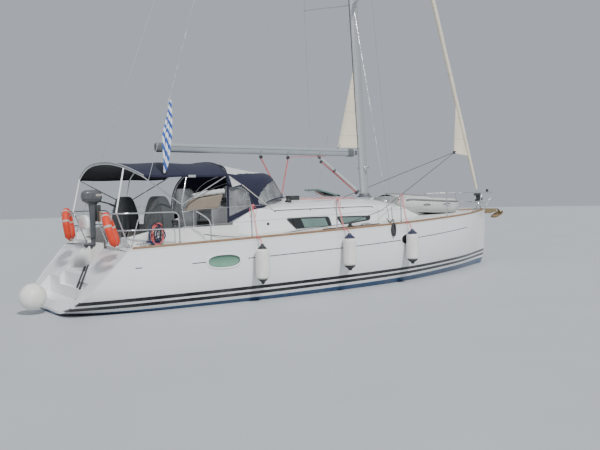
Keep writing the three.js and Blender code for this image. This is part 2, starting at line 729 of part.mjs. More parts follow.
// Boom with its gooseneck, sheet blocks' bails and the vang under it
function boom() {
  const start = [GOOSENECK.x - 60, BOOM_Z];
  const depth = 165;
  const outline = [
    [BOOM_END[0], BOOM_END[1] - depth + 75],
    [BOOM_END[0] + 60, BOOM_END[1] - depth + 75],
    [start[0], start[1] - depth / 2],
    [start[0], start[1] + depth / 2],
    [BOOM_END[0], BOOM_END[1] + 75],
  ];
  const spar = prism(outline, -52, 52);
  const { knuckle: tube, pin } = GOOSENECK;
  const knuckle = pipe([gooseneckAt(-tube.half), gooseneckAt(tube.half)], tube.radius, 12);
  const bore = pipe([gooseneckAt(-2 * tube.half), gooseneckAt(2 * tube.half)], pin + 3, 12);
  const toggle = box([start[0] - 10, -20, BOOM_Z - 30], [GOOSENECK.x + 2, 20, BOOM_Z + 30]);
  const bails = [4550, 5260].map((x) => pipe([[x, 0, BOOM_Z - 40], [x, 0, BOOM_Z - 165]], 24, 8));
  return join(spar, cut(join(knuckle, toggle), bore), ...bails);
}

const VANG = { low: [gooseneckAt(1990 - BOOM_Z)[0], 1990], high: [6120, BOOM_Z - 95] };

// Rigid vang from the mast's foot up to the boom
function vang() {
  const { low, high } = VANG;
  const along = (t) => [low[0] + (high[0] - low[0]) * t, 0, low[1] + (high[1] - low[1]) * t];
  const outer = pipe([along(0.02), along(0.62)], 30, 10);
  const inner = pipe([along(0.6), along(0.985)], 21, 10);
  return join(outer, inner, pipe([along(0), along(0.05)], 18, 8));
}

// The corner of the rolled mainsail that stays outside the mast
function mainsailClew() {
  const luff = (z) => mastX(z) - MAST_HALF.fore - 14;
  return prism([[luff(3010), 3010], [luff(4800), 4800], [6690, 3020]], -5, 5);
}

// Places of the pulpit's rails and legs on one side, x and y, with the heights of its two rails
const PULPIT = {
  top: 1895,
  middle: 1640,
  topRail: [[10300, 860], [11350, 330], [11920, 170]],
  middleRail: [[10340, 800], [11100, 440], [11700, 160]],
  legs: [[10340, 840], [11100, 455]],
  foot: [11560, 150],
  cross: [11870, 185],
};

// Stainless rail round the bow
function pulpit() {
  const { top, middle, topRail, middleRail, legs, foot, cross } = PULPIT;
  const halves = Object.values(SIDES).map((s) => {
    const level = (places, z) => places.map(([x, y]) => [x, s * y, z]);
    const end = [foot[0], s * foot[1], deckZ(foot[0], 0) - 20];
    const rail = pipe(rounded([...level(topRail, top), end], 150), RAIL_RADIUS);
    const posts = legs.map(([x, y]) => {
      const inset = Math.min(y, sheerY(x) - 60);
      return pipe([[x, s * inset, deckZ(x, inset) - 20], [x, s * y, top]], RAIL_RADIUS);
    });
    return join(rail, pipe(level(middleRail, middle), RAIL_RADIUS), ...posts);
  });
  const [x, y] = cross;
  const bar = pipe([[x, -y, top - 15], [x, y, top - 15]], RAIL_RADIUS);
  return cut(join(...halves, bar), deckGrown);
}

// A pushpit's rails: heights, how far each leans aft of its corner, and x or y of its forward end and gate
const PUSHPIT = {
  top: { z: 1730, lean: 230 },
  middle: { z: 1440, lean: 120 },
  forward: [1780, 1640],
  corner: [900, 1540],
  gate: 560,
  foot: 1000,
};

// Stainless rail round a quarter, with the gate between the two left open
function pushpit(side) {
  const { top, middle, forward, corner, gate, foot } = PUSHPIT;
  const loop = ({ z, lean }) => {
    const aft = corner[0] - lean;
    const places = [forward, [aft, corner[1]], [aft, gate]];
    return rounded(places.map(([x, y]) => [x, side * y, z]), 260);
  };
  const ends = [[forward[0], side * (forward[1] + 20), foot], [corner[0] + 5, side * gate, foot]];
  const upper = pipe(rounded([ends[0], ...loop(top), ends[1]], 120), RAIL_RADIUS);
  const leg = pipe([[930, side * 1430, foot], [700, side * 1500, top.z]], RAIL_RADIUS);
  return largest(cut(join(upper, pipe(loop(middle), RAIL_RADIUS), leg), deckGrown, cockpitGrown));
}

// Where the guardrails stand and how high they are
const railY = (x) => sheerY(x) - 95;
const railZ = (x) => deckZ(x, railY(x)) + STANCHION_HEIGHT;

// A wire along one side, some way below the stanchions' tops, from the pushpit to the pulpit
function lifeline(side, drop) {
  const tops = [GATE_POST.x - GATE_POST.lean, ...STANCHIONS];
  const stops = tops.map((x) => [x, side * railY(x), railZ(x) - drop]);
  const aft = [PUSHPIT.forward[0] + 50, side * (PUSHPIT.forward[1] + 10), PUSHPIT.top.z - 15 - drop * 0.9];
  const forward = [PULPIT.topRail[0][0], side * (PULPIT.topRail[0][1] + 30), PULPIT.top - drop];
  return pipe([aft, ...stops, forward], LIFELINE_RADIUS, 6);
}

// Stanchions of one side, under the upper lifeline, with the lower one through them
function guardrail(side) {
  const top = (x) => railZ(x) - LIFELINE_RADIUS - GAP;
  const post = (x, lean) => {
    const foot = [x, side * railY(x), deckZ(x, railY(x)) - 20];
    return pipe([foot, [x - lean, side * railY(x), top(x)]], RAIL_RADIUS);
  };
  const posts = [post(GATE_POST.x, GATE_POST.lean), ...STANCHIONS.map((x) => post(x, 0))];
  return cut(join(...posts, lifeline(side, LIFELINE_DROP)), deckGrown, grown(lifeline(side, 0)));
}

// The bimini's hoops, as x at starboard, at the crown and at port, with the canopy's half breadth and heights
const BIMINI = {
  hoops: [[1300, 1010, 1055], [2120, 2060, 2120], [2930, 3100, 2930]],
  side: 1300,
  edge: 2370,
  crown: 2650,
  pivot: [2005, 1310, 1850],
  foot: [2050, 1335, 1400],
};

// A point across a hoop, from -1 at starboard to 1 at port
const hoopPoint = ([starboardX, crownX, portX], f) => {
  const { side, edge, crown } = BIMINI;
  const sideX = f < 0 ? starboardX : portX;
  const drop = Math.abs(f) ** 2.6;
  return [crownX + (sideX - crownX) * drop, side * f, crown - (crown - edge) * drop];
};

// Three hoops that fold about a pivot on top of a post on each coaming
function biminiFrame() {
  const { hoops, pivot, foot } = BIMINI;
  const arcs = hoops.map((row) => {
    const arch = Array.from({ length: 13 }, (_, k) => {
      const [x, y, z] = hoopPoint(row, -1 + k / 6);
      return [x, y, z - 24];
    });
    const feet = [-1, 1].map((s) => [pivot[0], s * pivot[1], pivot[2]]);
    return pipe([feet[0], ...arch, feet[1]], RAIL_RADIUS, 6);
  });
  const posts = [-1, 1].flatMap((s) => {
    const y = s * pivot[1];
    const head = box([pivot[0] - 30, y - 18, pivot[2] - 30], [pivot[0] + 30, y + 18, pivot[2] + 22]);
    return [head, pipe([[foot[0], s * foot[1], foot[2]], [pivot[0], y, pivot[2]]], RAIL_RADIUS + 2, 8)];
  });
  return cut(join(...arcs, ...posts), cockpitGrown);
}

function biminiCanopy() {
  const { hoops } = BIMINI;
  const grid = [0, 0.5, 1, 1.5, 2].map((place) => {
    const [a, b] = [hoops[Math.floor(place)], hoops[Math.min(2, Math.ceil(place))]];
    const row = a.map((x, k) => (x + b[k]) / 2);
    return Array.from({ length: 13 }, (_, k) => hoopPoint(row, -1 + k / 6));
  });
  return sheet(grid, 10);
}

// Spray hood over the companionway, open at its aft side
const HOOD_ROWS = [
  // foot x, foot y, foot z, crown x, crown z
  [3020, 1215, 1470, 3330, 2610],
  [3480, 1130, 1640, 4040, 2485],
  [3640, 1085, 1685, 4600, 2385],
  [4010, 1000, 1748, 4930, 1925],
];
function sprayhood() {
  const grid = HOOD_ROWS.map(([footX, footY, footZ, crownX, crownZ]) =>
    Array.from({ length: 15 }, (_, k) => {
      const f = -1 + k / 7;
      const turn = (Math.PI / 2) * f;
      const y = footY * Math.sign(f) * Math.abs(Math.sin(turn)) ** 0.8;
      const rise = Math.cos(turn) ** 0.55;
      return [footX + (crownX - footX) * Math.cos(turn) ** 1.9, y, footZ + (crownZ - footZ) * rise];
    }),
  );
  return largest(cut(sheet(grid, 14), roofSolid.translate(0, 0, GAP), cockpitGrown));
}

// A steering wheel: rim, hub and spokes on the pedestal's axle
const WHEEL = { x: 1690, z: 1530, radius: 400, axle: 18 };
function wheel(side) {
  const rim = new THREE.TorusGeometry(WHEEL.radius, 15, 8, 28);
  rim.rotateY(Math.PI / 2);
  const hub = new THREE.CylinderGeometry(45, 45, 60, 14);
  hub.rotateZ(Math.PI / 2);
  const spokes = [0, 1, 2, 3, 4].map((k) => {
    const turn = (2 * Math.PI * k) / 5;
    return pipe([[0, 0, 0], [0, WHEEL.radius * Math.sin(turn), WHEEL.radius * Math.cos(turn)]], 9, 6);
  });
  const bore = pipe([[-80, 0, 0], [80, 0, 0]], WHEEL.axle + 3, 14);
  return cut(join(solid(rim), solid(hub), ...spokes), bore).translate(WHEEL.x, side * HELM_Y, WHEEL.z);
}

// Pedestal with the canvas cover tied over it
function pedestal(side) {
  const y = side * HELM_Y;
  const foot = box([1790, y - 110, COCKPIT.helm + GAP], [1885, y + 110, 1300]);
  const cover = loft([
    [[1765, y - 190, 1230], [2060, y - 190, 1250], [2060, y + 190, 1250], [1765, y + 190, 1230]],
    [[1765, y - 180, 1650], [2040, y - 180, 1650], [2040, y + 180, 1650], [1765, y + 180, 1650]],
    [[1790, y - 150, 2010], [1930, y - 150, 2010], [1930, y + 150, 2010], [1790, y + 150, 2010]],
  ]);
  const axle = pipe([[WHEEL.x - 34, y, WHEEL.z], [1800, y, WHEEL.z]], WHEEL.axle, 12);
  return join(foot, cover, axle);
}

function cockpitTable() {
  const leg = box([2200, -90, COCKPIT.sole + GAP], [2700, 90, 1180]);
  const top = box([2080, -130, 1150], [2850, 130, 1290]);
  return join(leg, top);
}

function winch(side) {
  const profile = [[0, 0], [85, 0], [85, 40], [62, 60], [62, 130], [80, 150], [70, 175], [0, 182]];
  return cut(turned(profile, [1900, side * 1225, 1415], 18), cockpitGrown);
}

// A tan backrest pad lying against the coaming
function backrest() {
  const shape = [[2110, 1700], [2840, 1750], [2940, 2030], [2220, 1950]];
  const legs = [2300, 2700].map((x) => pipe([[x, -1185, 1420], [x, -1185, 1770]], RAIL_RADIUS));
  return cut(join(prism(shape, -1225, -1150), ...legs), cockpitGrown);
}

// Upturned inflatable on the foredeck: a round tube bent to a U, with its floor on top
function dinghy() {
  const side = (s) => [[8120, s * 560, 1690], [9700, s * 560, 1590], [10330, s * 170, 1575]];
  const tubes = pipe(rounded([...side(-1), ...side(1).reverse()], 500, 4), 185, 10);
  const floor = loft([
    [[8180, -560, 1700], [8180, 0, 1900], [8180, 560, 1700], [8180, 0, 1660]],
    [[9300, -520, 1640], [9300, 0, 1860], [9300, 520, 1640], [9300, 0, 1600]],
    [[10100, -220, 1600], [10100, 0, 1700], [10100, 220, 1600], [10100, 0, 1560]],
  ]);
  const clear = join(solidDeck.translate(0, 0, 6), roofSolid.translate(0, 0, 6));
  return largest(cut(join(tubes, floor), clear));
}

// x and the lower end's height of each fender
const FENDERS = [[3250, 350], [5270, 440], [7080, 430]];

// A cylindrical fender hanging outside the hull's starboard side
function fender([x, low]) {
  const r = 130;
  const profile = [[0, 0], [35, 10], [60, 70], [r, 130], [r, 610], [60, 670], [35, 735], [0, 750]];
  const y = SIDES.starboard * (sheerY(x) + r + 18);
  return turned(profile, [x, y, low], 16);
}

function ballFender() {
  const g = new THREE.SphereGeometry(235, 18, 12);
  g.translate(-385, -270, 310);
  return solid(g);
}

// Each horseshoe buoy's middle, how far its top leans aft, and where its bracket meets the pushpit
const HORSESHOES = {
  starboard: { middle: [540, -1635, 1453], lean: 0.3, clamp: [745, -1462, 1728] },
  port: { middle: [500, 383, 1505], lean: 0.12, clamp: [700, 561, 1638] },
};
const HORSESHOE_TURN = -0.35; // about the vertical, from lying across the boat

// A horseshoe buoy hanging outside the pushpit on its bracket
function horseshoe({ middle, lean, clamp }, rail) {
  const half = [[0, -150, -270], [0, -190, 120]];
  const path = rounded([...half, [0, 0, 290], ...half.map(([x, y, z]) => [x, -y, z]).reverse()], 170, 3);
  const place = new THREE.Matrix4().makeRotationZ(HORSESHOE_TURN);
  place.multiply(new THREE.Matrix4().makeRotationY(-lean)).setPosition(...middle);
  const shoulder = new THREE.Vector3(0, 100, 235).applyMatrix4(place);
  const buoy = pipe(path, 62, 8).transform(place.elements);
  return cut(join(buoy, pipe([shoulder.toArray(), clamp], 11, 6)), rail);
}

// Outboard motor stowed on the starboard pushpit
function outboard(rail) {
  const [x, y] = [562, -750];
  const level = (aft, forward, half, z0, z1) => {
    const corners = [[aft, -half, z0], [forward, -half, z1], [forward, half, z1], [aft, half, z0]];
    return corners.map(([along, across, z]) => [x + along, y + across, z]);
  };
  const cowl = loft([
    level(-160, 130, 105, 1965, 1965),
    level(-155, 125, 100, 2090, 2110),
    level(-100, 75, 60, 2145, 2155),
  ]);
  const legBox = box([x - 55, y - 42, 1290], [x + 45, y + 42, 1970]);
  const foot = prism([[x - 110, 1110], [x + 40, 1110], [x + 35, 1300], [x - 90, 1300]], y - 20, y + 20);
  const plate = box([x - 130, y - 60, 1320], [x + 35, y + 60, 1335]);
  const bracket = box([x + 30, y - 80, 1600], [x + 170, y + 80, 1760]);
  return cut(join(cowl, legBox, foot, plate, bracket), rail);
}

// Bow roller and the anchor stowed on it
function bowFitting() {
  const cheek = [[11350, 1475], [12150, 1440], [12180, 1360], [11900, 1310], [11350, 1400]];
  const cheeks = [-62, 54].map((y) => prism(cheek, y, y + 8));
  const floor = box([11350, -62, 1400], [11770, 62, 1436]);
  const stem = outerHull.translate(GAP, 0, GAP);
  const roller = new THREE.CylinderGeometry(34, 34, 124, 14);
  roller.translate(12110, 0, 1378);
  return largest(cut(join(...cheeks, floor, solid(roller)), deckGrown, stem, furlerGrown));
}

function anchor() {
  const shankTop = [[11480, 1466], [12330, 1436], [12420, 1350]];
  const shankSide = [...shankTop, [12330, 1300], [12260, 1420], [11480, 1446]];
  const shank = prism(shankSide, -14, 14);
  const fluke = loft([
    [[12060, 0, 1215], [12090, 0, 1190], [12070, 0, 1180], [12040, 0, 1200]],
    [[12300, -150, 1270], [12330, 0, 1215], [12300, 150, 1270], [12290, 0, 1245]],
    [[12400, -60, 1400], [12430, 0, 1360], [12400, 60, 1400], [12385, 0, 1385]],
  ]);
  return cut(join(shank, fluke), bowGrown, deckGrown, furlerGrown);
}

// Teak toe rail along one side, from the quarter to the stem fitting
function toeRail(side) {
  const { aft, forward, stations, width, height } = TOE_RAIL;
  const rings = Array.from({ length: stations + 1 }, (_, k) => {
    const x = aft + ((forward - aft) * k) / stations;
    const [outer, inner] = [sheerY(x) - 2, sheerY(x) - width];
    const z = deckZ(x, outer);
    const corners = [[outer, z - 3], [inner, z - 3], [inner, z + height], [outer, z + height]];
    return corners.map(([y, h]) => [x, side * y, h]);
  });
  return largest(cut(loft(rings), deckGrown, bowGrown, pulpitGrown));
}

// The ensign from its top down: height, x of its aft and its forward edge, y of its aft edge
const ENSIGN_ROWS = [
  [3735, 1866, 1890, -1240],
  [3500, 1800, 1880, -1260],
  [3300, 1735, 1865, -1278],
  [3090, 1675, 1845, -1298],
  [2850, 1672, 1815, -1300],
  [2650, 1680, 1780, -1300],
  [2520, 1676, 1745, -1300],
  [2440, 1672, 1700, -1300],
];

// National ensign hanging in folds just outboard of the starboard backstay
function ensign() {
  const fold = 30;
  const drape = ENSIGN_ROWS.map(([z, aft, forward, y]) => {
    const breadth = forward - aft;
    const depth = fold * Math.min(1, breadth / 100);
    return [0, 1, 2, 3].map((k) => [aft + (k * breadth) / 3, y - depth * (k % 2), z]);
  });
  return sheet(drape, 8);
}

// Engine block under the companionway
function engineBlock() {
  return box([3260, -240, -160], [3960, 240, 380]);
}

// A solid made a little larger by moving it each way, for trimming its neighbours
function grown(body, by = GAP) {
  const moves = [[by, 0, 0], [-by, 0, 0], [0, by, 0], [0, -by, 0], [0, 0, by], [0, 0, -by]];
  return join(body, ...moves.map((m) => body.translate(...m)));
}

const cockpitBody = cockpit();
const cockpitGrown = grown(cockpitBody);
const mastBody = mast();
const mastGrown = grown(mastBody);
const genoaBody = furledGenoa();
const furlerGrown = grown(genoaBody, 4);
const pulpitBody = pulpit();
const pulpitGrown = grown(pulpitBody, 3);
const bowBody = bowFitting();
const bowGrown = grown(bowBody);

const boat = new THREE.Group();
boat.position.x = -MIDSHIPS;
const sloop = new THREE.Group();
sloop.add(boat);

// A named piece of the boat with its finish
function piece(name, body, finish) {
  const mesh = body.getMesh();
  const g = new THREE.BufferGeometry();
  g.setAttribute("position", new THREE.BufferAttribute(Float32Array.from(mesh.vertProperties), 3));
  g.setIndex(new THREE.BufferAttribute(Uint32Array.from(mesh.triVerts), 1));
  g.computeVertexNormals();
  const made = new THREE.Mesh(g, new THREE.MeshStandardMaterial(FINISH[finish]));
  made.name = name;
  boat.add(made);
}

piece("hull", hullShell(), "gelcoat");
piece("transom_moulding", transomMoulding(), "gelcoat");
piece("deck", deck(), "deck");
piece("coachroof", coachroof(), "gelcoat");
piece("cockpit", cockpitBody, "gelcoat");
piece("cabin_interior", cabinInterior(), "joinery");
piece("engine_block", engineBlock(), "engine");
piece("keel", keel(), "antifouling");
piece("saildrive", saildrive(), "darkPaint");
piece("propeller", propeller(), "bronze");
piece("rudder", rudder(), "antifouling");
piece("anchor_locker_lid", anchorLockerLid(), "deck");
piece("companionway_hatch", companionwayHatch(), "acrylic");
piece("washboard", washboard(), "acrylic");
piece("saloon_hatch", saloonHatch(), "acrylic");
piece("cockpit_table", cockpitTable(), "teak");
piece("backrest", backrest(), "tanCanvas");
piece("mast", mastBody, "aluminium");
piece("boom", boom(), "aluminium");
piece("vang", vang(), "aluminium");
piece("mainsail_clew", mainsailClew(), "sailcloth");
piece("furled_genoa", genoaBody, "sailcloth");
piece("backstays", backstays(), "steel");
piece("pulpit", pulpitBody, "steel");
piece("bimini_frame", biminiFrame(), "steel");
piece("bimini_canopy", biminiCanopy(), "navyCanvas");
piece("sprayhood", sprayhood(), "navyCanvas");
piece("dinghy", dinghy(), "rubberised");
piece("ball_fender", ballFender(), "fender");
piece("outboard_motor", outboard(grown(pushpit(SIDES.starboard))), "darkPaint");
piece("bow_fitting", bowBody, "steel");
piece("anchor", anchor(), "galvanised");
piece("ensign", ensign(), "flagcloth");
for (const [name, side] of Object.entries(SIDES)) {
  piece(`toe_rail_${name}`, toeRail(side), "teak");
  piece(`side_windows_${name}`, sidePane(side), "acrylic");
  piece(`porthole_${name}`, portholePane(side), "acrylic");
  piece(`locker_lid_${name}`, lockerLid(side), "gelcoat");
  piece(`wheel_${name}`, wheel(side), "steel");
  piece(`helm_pedestal_${name}`, pedestal(side), "greyCanvas");
  piece(`winch_${name}`, winch(side), "steel");
  piece(`shrouds_${name}`, shrouds(side), "steel");
  const rail = pushpit(side);
  piece(`pushpit_${name}`, rail, "steel");
  piece(`guardrail_${name}`, guardrail(side), "steel");
  piece(`lifeline_${name}`, lifeline(side, 0), "steel");
  piece(`horseshoe_${name}`, horseshoe(HORSESHOES[name], grown(rail)), "foam");
}
FENDERS.forEach((place, k) => piece(`fender_starboard_${k + 1}`, fender(place), "fender"));

export default sloop;
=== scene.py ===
"""A 39-foot cruising sloop at its mooring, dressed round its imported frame.

Metres, +X to the bow, +Y to port, +Z up, with the origin on the waterline amidships. The tables and places
below
give lengths forward of the aft perpendicular, as the frame's own source does, and `build` moves them
amidships.
"""
import math

import bmesh
import bpy
import numpy as np
from mathutils import Matrix


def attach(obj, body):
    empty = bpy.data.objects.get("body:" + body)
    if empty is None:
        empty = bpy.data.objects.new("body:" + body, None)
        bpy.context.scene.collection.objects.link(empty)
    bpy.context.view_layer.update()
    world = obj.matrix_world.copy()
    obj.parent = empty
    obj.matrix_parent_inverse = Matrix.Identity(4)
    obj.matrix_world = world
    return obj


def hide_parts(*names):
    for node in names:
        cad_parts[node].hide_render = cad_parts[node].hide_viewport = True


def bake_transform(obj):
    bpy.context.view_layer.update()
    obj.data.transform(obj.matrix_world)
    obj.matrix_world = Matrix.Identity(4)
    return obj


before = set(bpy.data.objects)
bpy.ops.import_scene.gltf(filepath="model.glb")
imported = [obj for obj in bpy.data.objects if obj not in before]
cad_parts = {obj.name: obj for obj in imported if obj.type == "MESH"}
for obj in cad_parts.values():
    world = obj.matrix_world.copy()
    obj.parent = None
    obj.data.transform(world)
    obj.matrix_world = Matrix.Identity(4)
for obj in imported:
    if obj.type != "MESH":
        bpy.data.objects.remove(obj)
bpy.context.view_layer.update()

# Driving dimensions
MIDSHIPS = 5.825
SHEER_AFT = 1.060
SHEER_RISE = 0.0281
DECK_THICKNESS = 0.0364
DECK_CAMBER = 0.070
TRANSOM_FOOT = (-0.100, 0.080)  # x, z
TRANSOM_HEAD = (0.800, 1.060)
MAST_FOOT = (7.470, 1.860)
MAST_RAKE = 0.0535
MASTHEAD = 16.900
BOOM_Z = 2.910
BOOM_END = (2.130, 2.960)
SIDES = (("starboard", -1), ("port", 1))
STANCHIONS = (3.190, 5.150, 6.980, 8.800)
CAMERA = {"place": (-9.812, -13.318, 2.038), "yaw": 0.622, "pitch": -0.046, "roll": -0.0234, "lens": 44.06}

# Hull sections: x, half breadth at the sheer, height of the keel line, fullness
HULL_ROWS = np.array([
    [-0.400, 1.440, 0.060, 3.60],
    [0.600, 1.600, -0.090, 3.90],
    [2.000, 1.780, -0.290, 3.30],
    [4.000, 1.915, -0.450, 3.05],
    [6.000, 1.920, -0.510, 2.80],
    [7.500, 1.780, -0.480, 2.65],
    [9.000, 1.420, -0.390, 2.35],
    [10.000, 1.050, -0.310, 2.20],
    [11.000, 0.500, -0.190, 2.05],
    [11.600, 0.120, 0.060, 1.90],
    [11.750, 0.016, 1.180, 1.60],
])

# Coachroof sections: x, half breadth at its foot, half breadth and height of the roof's edge, crown height
ROOF_ROWS = np.array([
    [3.150, 1.270, 1.120, 1.690, 1.875],
    [5.000, 1.240, 1.060, 1.700, 1.890],
    [6.900, 1.120, 0.930, 1.690, 1.865],
    [8.000, 0.930, 0.720, 1.590, 1.735],
    [8.900, 0.690, 0.470, 1.440, 1.525],
    [9.500, 0.420, 0.260, 1.352, 1.395],
])


# Camera, light and floor

def aim_camera():
    """The photograph's camera: its three axes come from yaw from +Y towards +X, pitch and roll."""
    yaw, pitch, roll = (CAMERA[k] for k in ("yaw", "pitch", "roll"))
    ahead = np.array([math.sin(yaw) * math.cos(pitch), math.cos(yaw) * math.cos(pitch), math.sin(pitch)])
    level = np.array([math.cos(yaw), -math.sin(yaw), 0.0])
    upright = np.cross(level, ahead)
    right = level * math.cos(roll) + upright * math.sin(roll)
    up = upright * math.cos(roll) - level * math.sin(roll)
    turn = np.eye(4)
    turn[:3, 0], turn[:3, 1], turn[:3, 2], turn[:3, 3] = right, up, -ahead, CAMERA["place"]
    data = bpy.data.cameras.new("camera")
    data.lens = CAMERA["lens"]
    data.sensor_width = 36.0
    data.clip_end = 200.0
    camera = bpy.data.objects.new("camera", data)
    camera.matrix_world = Matrix(turn.tolist())
    bpy.context.scene.collection.objects.link(camera)
    bpy.context.scene.camera = camera


def light_studio():
    """A pale world, a broad key light from the starboard bow and a weak fill from astern."""
    world = bpy.data.worlds.new("studio")
    world.use_nodes = True
    world.node_tree.nodes["Background"].inputs["Color"].default_value = (0.80, 0.87, 0.96, 1)
    world.node_tree.nodes["Background"].inputs["Strength"].default_value = 0.55
    bpy.context.scene.world = world
    for name, direction, strength, spread in (
        ("key", (0.10, 0.70, -0.75), 3.5, 0.10),
        ("fill", (0.8, 0.5, -0.6), 0.5, 0.80),
    ):
        data = bpy.data.lights.new(name, "SUN")
        data.energy = strength
        data.angle = spread
        lamp = bpy.data.objects.new(name, data)
        lamp.matrix_world = Matrix(facing(direction).tolist())
        bpy.context.scene.collection.objects.link(lamp)


def facing(direction):
    """A turn whose -Z points along a direction."""
    back = -np.array(direction, float) / np.linalg.norm(direction)
    right = np.cross([0, 0, 1], back)
    right /= np.linalg.norm(right)
    turn = np.eye(4)
    turn[:3, 0], turn[:3, 1], turn[:3, 2] = right, np.cross(back, right), back
    return turn


aim_camera()
light_studio()


# Shapes: every surface is a grid of points worked out as one array

class Shape:
    """Vertices, four-cornered faces, and a UV pair in metres for each corner of each face."""

    def __init__(self, vertices, faces, uvs):
        self.vertices, self.faces, self.uvs = vertices, faces, uvs

    def __add__(self, other):
        vertices = np.vstack([self.vertices, other.vertices])
        faces = np.vstack([self.faces, other.faces + len(self.vertices)])
        return Shape(vertices, faces, np.concatenate([self.uvs, other.uvs]))

    def moved(self, x, y, z):
        return Shape(self.vertices + np.array([x, y, z]), self.faces, self.uvs)

    def turned(self, axis, angle, about=(0, 0, 0)):
        """Turned about a line through a point, by the right-hand rule."""
        spin = np.array(Matrix.Rotation(angle, 3, axis))
        about = np.array(about, float)
        return Shape((self.vertices - about) @ spin.T + about, self.faces, self.uvs)

    def mirrored(self):
        """The same shape on the other side of the centreline."""
        return Shape(self.vertices * [1, -1, 1], self.faces[:, ::-1], self.uvs[:, ::-1])


def xyz(x, y, z):
    """Points from three arrays, or numbers, that fit one another."""
    return np.stack(np.broadcast_arrays(x, y, z), -1)


def total(shapes):
    """Several shapes as one."""
    shapes = list(shapes)
    out = shapes[0]
    for shape in shapes[1:]:
        out = out + shape
    return out


def lengths(points):
    """Distance along a row of points, from its first."""
    return np.concatenate([[0.0], np.cumsum(np.linalg.norm(np.diff(points, axis=0), axis=1))])


def patch(points, wrap=False):
    """A surface through a grid of points. With wrap, each row closes on itself."""
    rows, columns = points.shape[:2]
    i, j = np.meshgrid(np.arange(rows - 1), np.arange(columns if wrap else columns - 1), indexing="ij")
    corners = ((i, j), (i + 1, j), (i + 1, j + 1), (i, j + 1))
    faces = np.stack([a * columns + b % columns for a, b in corners], -1).reshape(-1, 4)
    middle = points[rows // 2]
    along = lengths(points[:, columns // 2])
    across = lengths(np.vstack([middle, middle[:1]]))
    uvs = np.stack([np.stack([along[a], across[b]], -1) for a, b in corners], -2).reshape(-1, 4, 2)
    return Shape(points.reshape(-1, 3), faces, uvs)


def thick(points, thickness):
    """A closed sheet about a grid of points: the grid moved half the thickness each way along its normals,
    with
    the two joined round the edge."""
    normal = np.cross(np.gradient(points, axis=0), np.gradient(points, axis=1))
    normal /= np.maximum(np.linalg.norm(normal, axis=2, keepdims=True), 1e-12)
    step = normal * np.asarray(thickness)[..., None] / 2 if np.ndim(thickness) else normal * thickness / 2
    upper, lower = points + step, points - step
    skin = patch(np.concatenate([upper, lower[:, ::-1]], axis=1), wrap=True)
    return skin + patch(np.stack([upper[0], lower[0]])) + patch(np.stack([lower[-1], upper[-1]]))


def outline(half_x, half_y, power=2.0, count=24):
    """A closed outline: x and y are half widths times the cosine and sine, each raised to 2 over the
    power, so
    2 gives an ellipse and more gives a rounded rectangle."""
    turn = np.linspace(0, 2 * np.pi, count, endpoint=False)
    bend = lambda v: np.sign(v) * np.abs(v) ** (2 / power)
    return np.stack([half_x * bend(np.cos(turn)), half_y * bend(np.sin(turn))], -1)


def sweep(section, path, scale=1.0, closed=False, up=None):
    """An outline carried along a path. Its first axis is square to the path and to `up`, which is the
    direction
    the path turns about least unless it is given. The ends close on the path itself."""
    path = np.asarray(path, float)
    tangent = np.roll(path, -1, 0) - np.roll(path, 1, 0) if closed else np.gradient(path, axis=0)
    tangent = tangent / np.linalg.norm(tangent, axis=1, keepdims=True)
    reference = np.linalg.svd(tangent)[2][-1] if up is None else np.array(up, float)
    side = np.cross(tangent, reference)
    side /= np.linalg.norm(side, axis=1, keepdims=True)
    rise = np.cross(side, tangent)
    scale = np.broadcast_to(np.asarray(scale, float), (len(path),))[:, None, None]
    rings = section[None, :, :1] * side[:, None] + section[None, :, 1:] * rise[:, None]
    rings = path[:, None] + scale * rings
    if closed:
        rings = np.concatenate([rings, rings[:1]])
    else:
        ends = [np.repeat(path[k:k + 1, None], rings.shape[1], axis=1) for k in (0, len(path) - 1)]
        rings = np.concatenate([ends[0], rings, ends[1]])
    return patch(rings, wrap=True)


def tube(path, radius, sides=10, closed=False):
    """A round bar along a path; the radius may change from point to point."""
    return sweep(outline(1, 1, count=sides), path, radius, closed)


def along(rows, places):
    """Catmull-Rom through the rows of a table, at places counted in rows."""
    rows, places = np.asarray(rows, float), np.asarray(places, float)
    i = np.clip(np.floor(places).astype(int), 0, len(rows) - 2)
    t = (places - i)[..., None]
    a, b = rows[np.maximum(i - 1, 0)], rows[i]
    c, d = rows[i + 1], rows[np.minimum(i + 2, len(rows) - 1)]
    leave, arrive = (c - a) / 2, (d - b) / 2
    t2, t3 = t * t, t * t * t
    return (2 * t3 - 3 * t2 + 1) * b + (t3 - 2 * t2 + t) * leave + (3 * t2 - 2 * t3) * c + (t3 - t2) * arrive


def curve(points, steps=8):
    """A smooth path through points."""
    return along(points, np.linspace(0, len(points) - 1, (len(points) - 1) * steps + 1))


def at_x(rows, x):
    """A table's rows, smoothed, at lengths forward."""
    places = np.linspace(0, len(rows) - 1, 1201)
    dense = along(rows, places)
    return along(rows, np.interp(x, dense[:, 0], places))


def bent(points, radius, steps=6):
    """Straight runs between points, with each corner rounded by a short parabola."""
    points = np.asarray(points, float)
    fresh = np.linalg.norm(np.diff(points, axis=0), axis=1) > 1e-6
    points = points[np.append(True, fresh)]
    out = [points[:1]]
    t = np.linspace(0, 1, steps + 1)[:, None]
    for before, corner, after in zip(points[:-2], points[1:-1], points[2:]):
        far = [np.linalg.norm(p - corner) for p in (before, after)]
        reach = [min(radius, 0.45 * length) / length for length in far]
        start, stop = corner + (before - corner) * reach[0], corner + (after - corner) * reach[1]
        out.append((1 - t) ** 2 * start + 2 * t * (1 - t) * corner + t ** 2 * stop)
    out.append(points[-1:])
    return np.vstack(out)


def straight(a, b, count=2):
    """Points along a line."""
    t = np.linspace(0, 1, count)[:, None]
    return np.array(a, float) * (1 - t) + np.array(b, float) * t


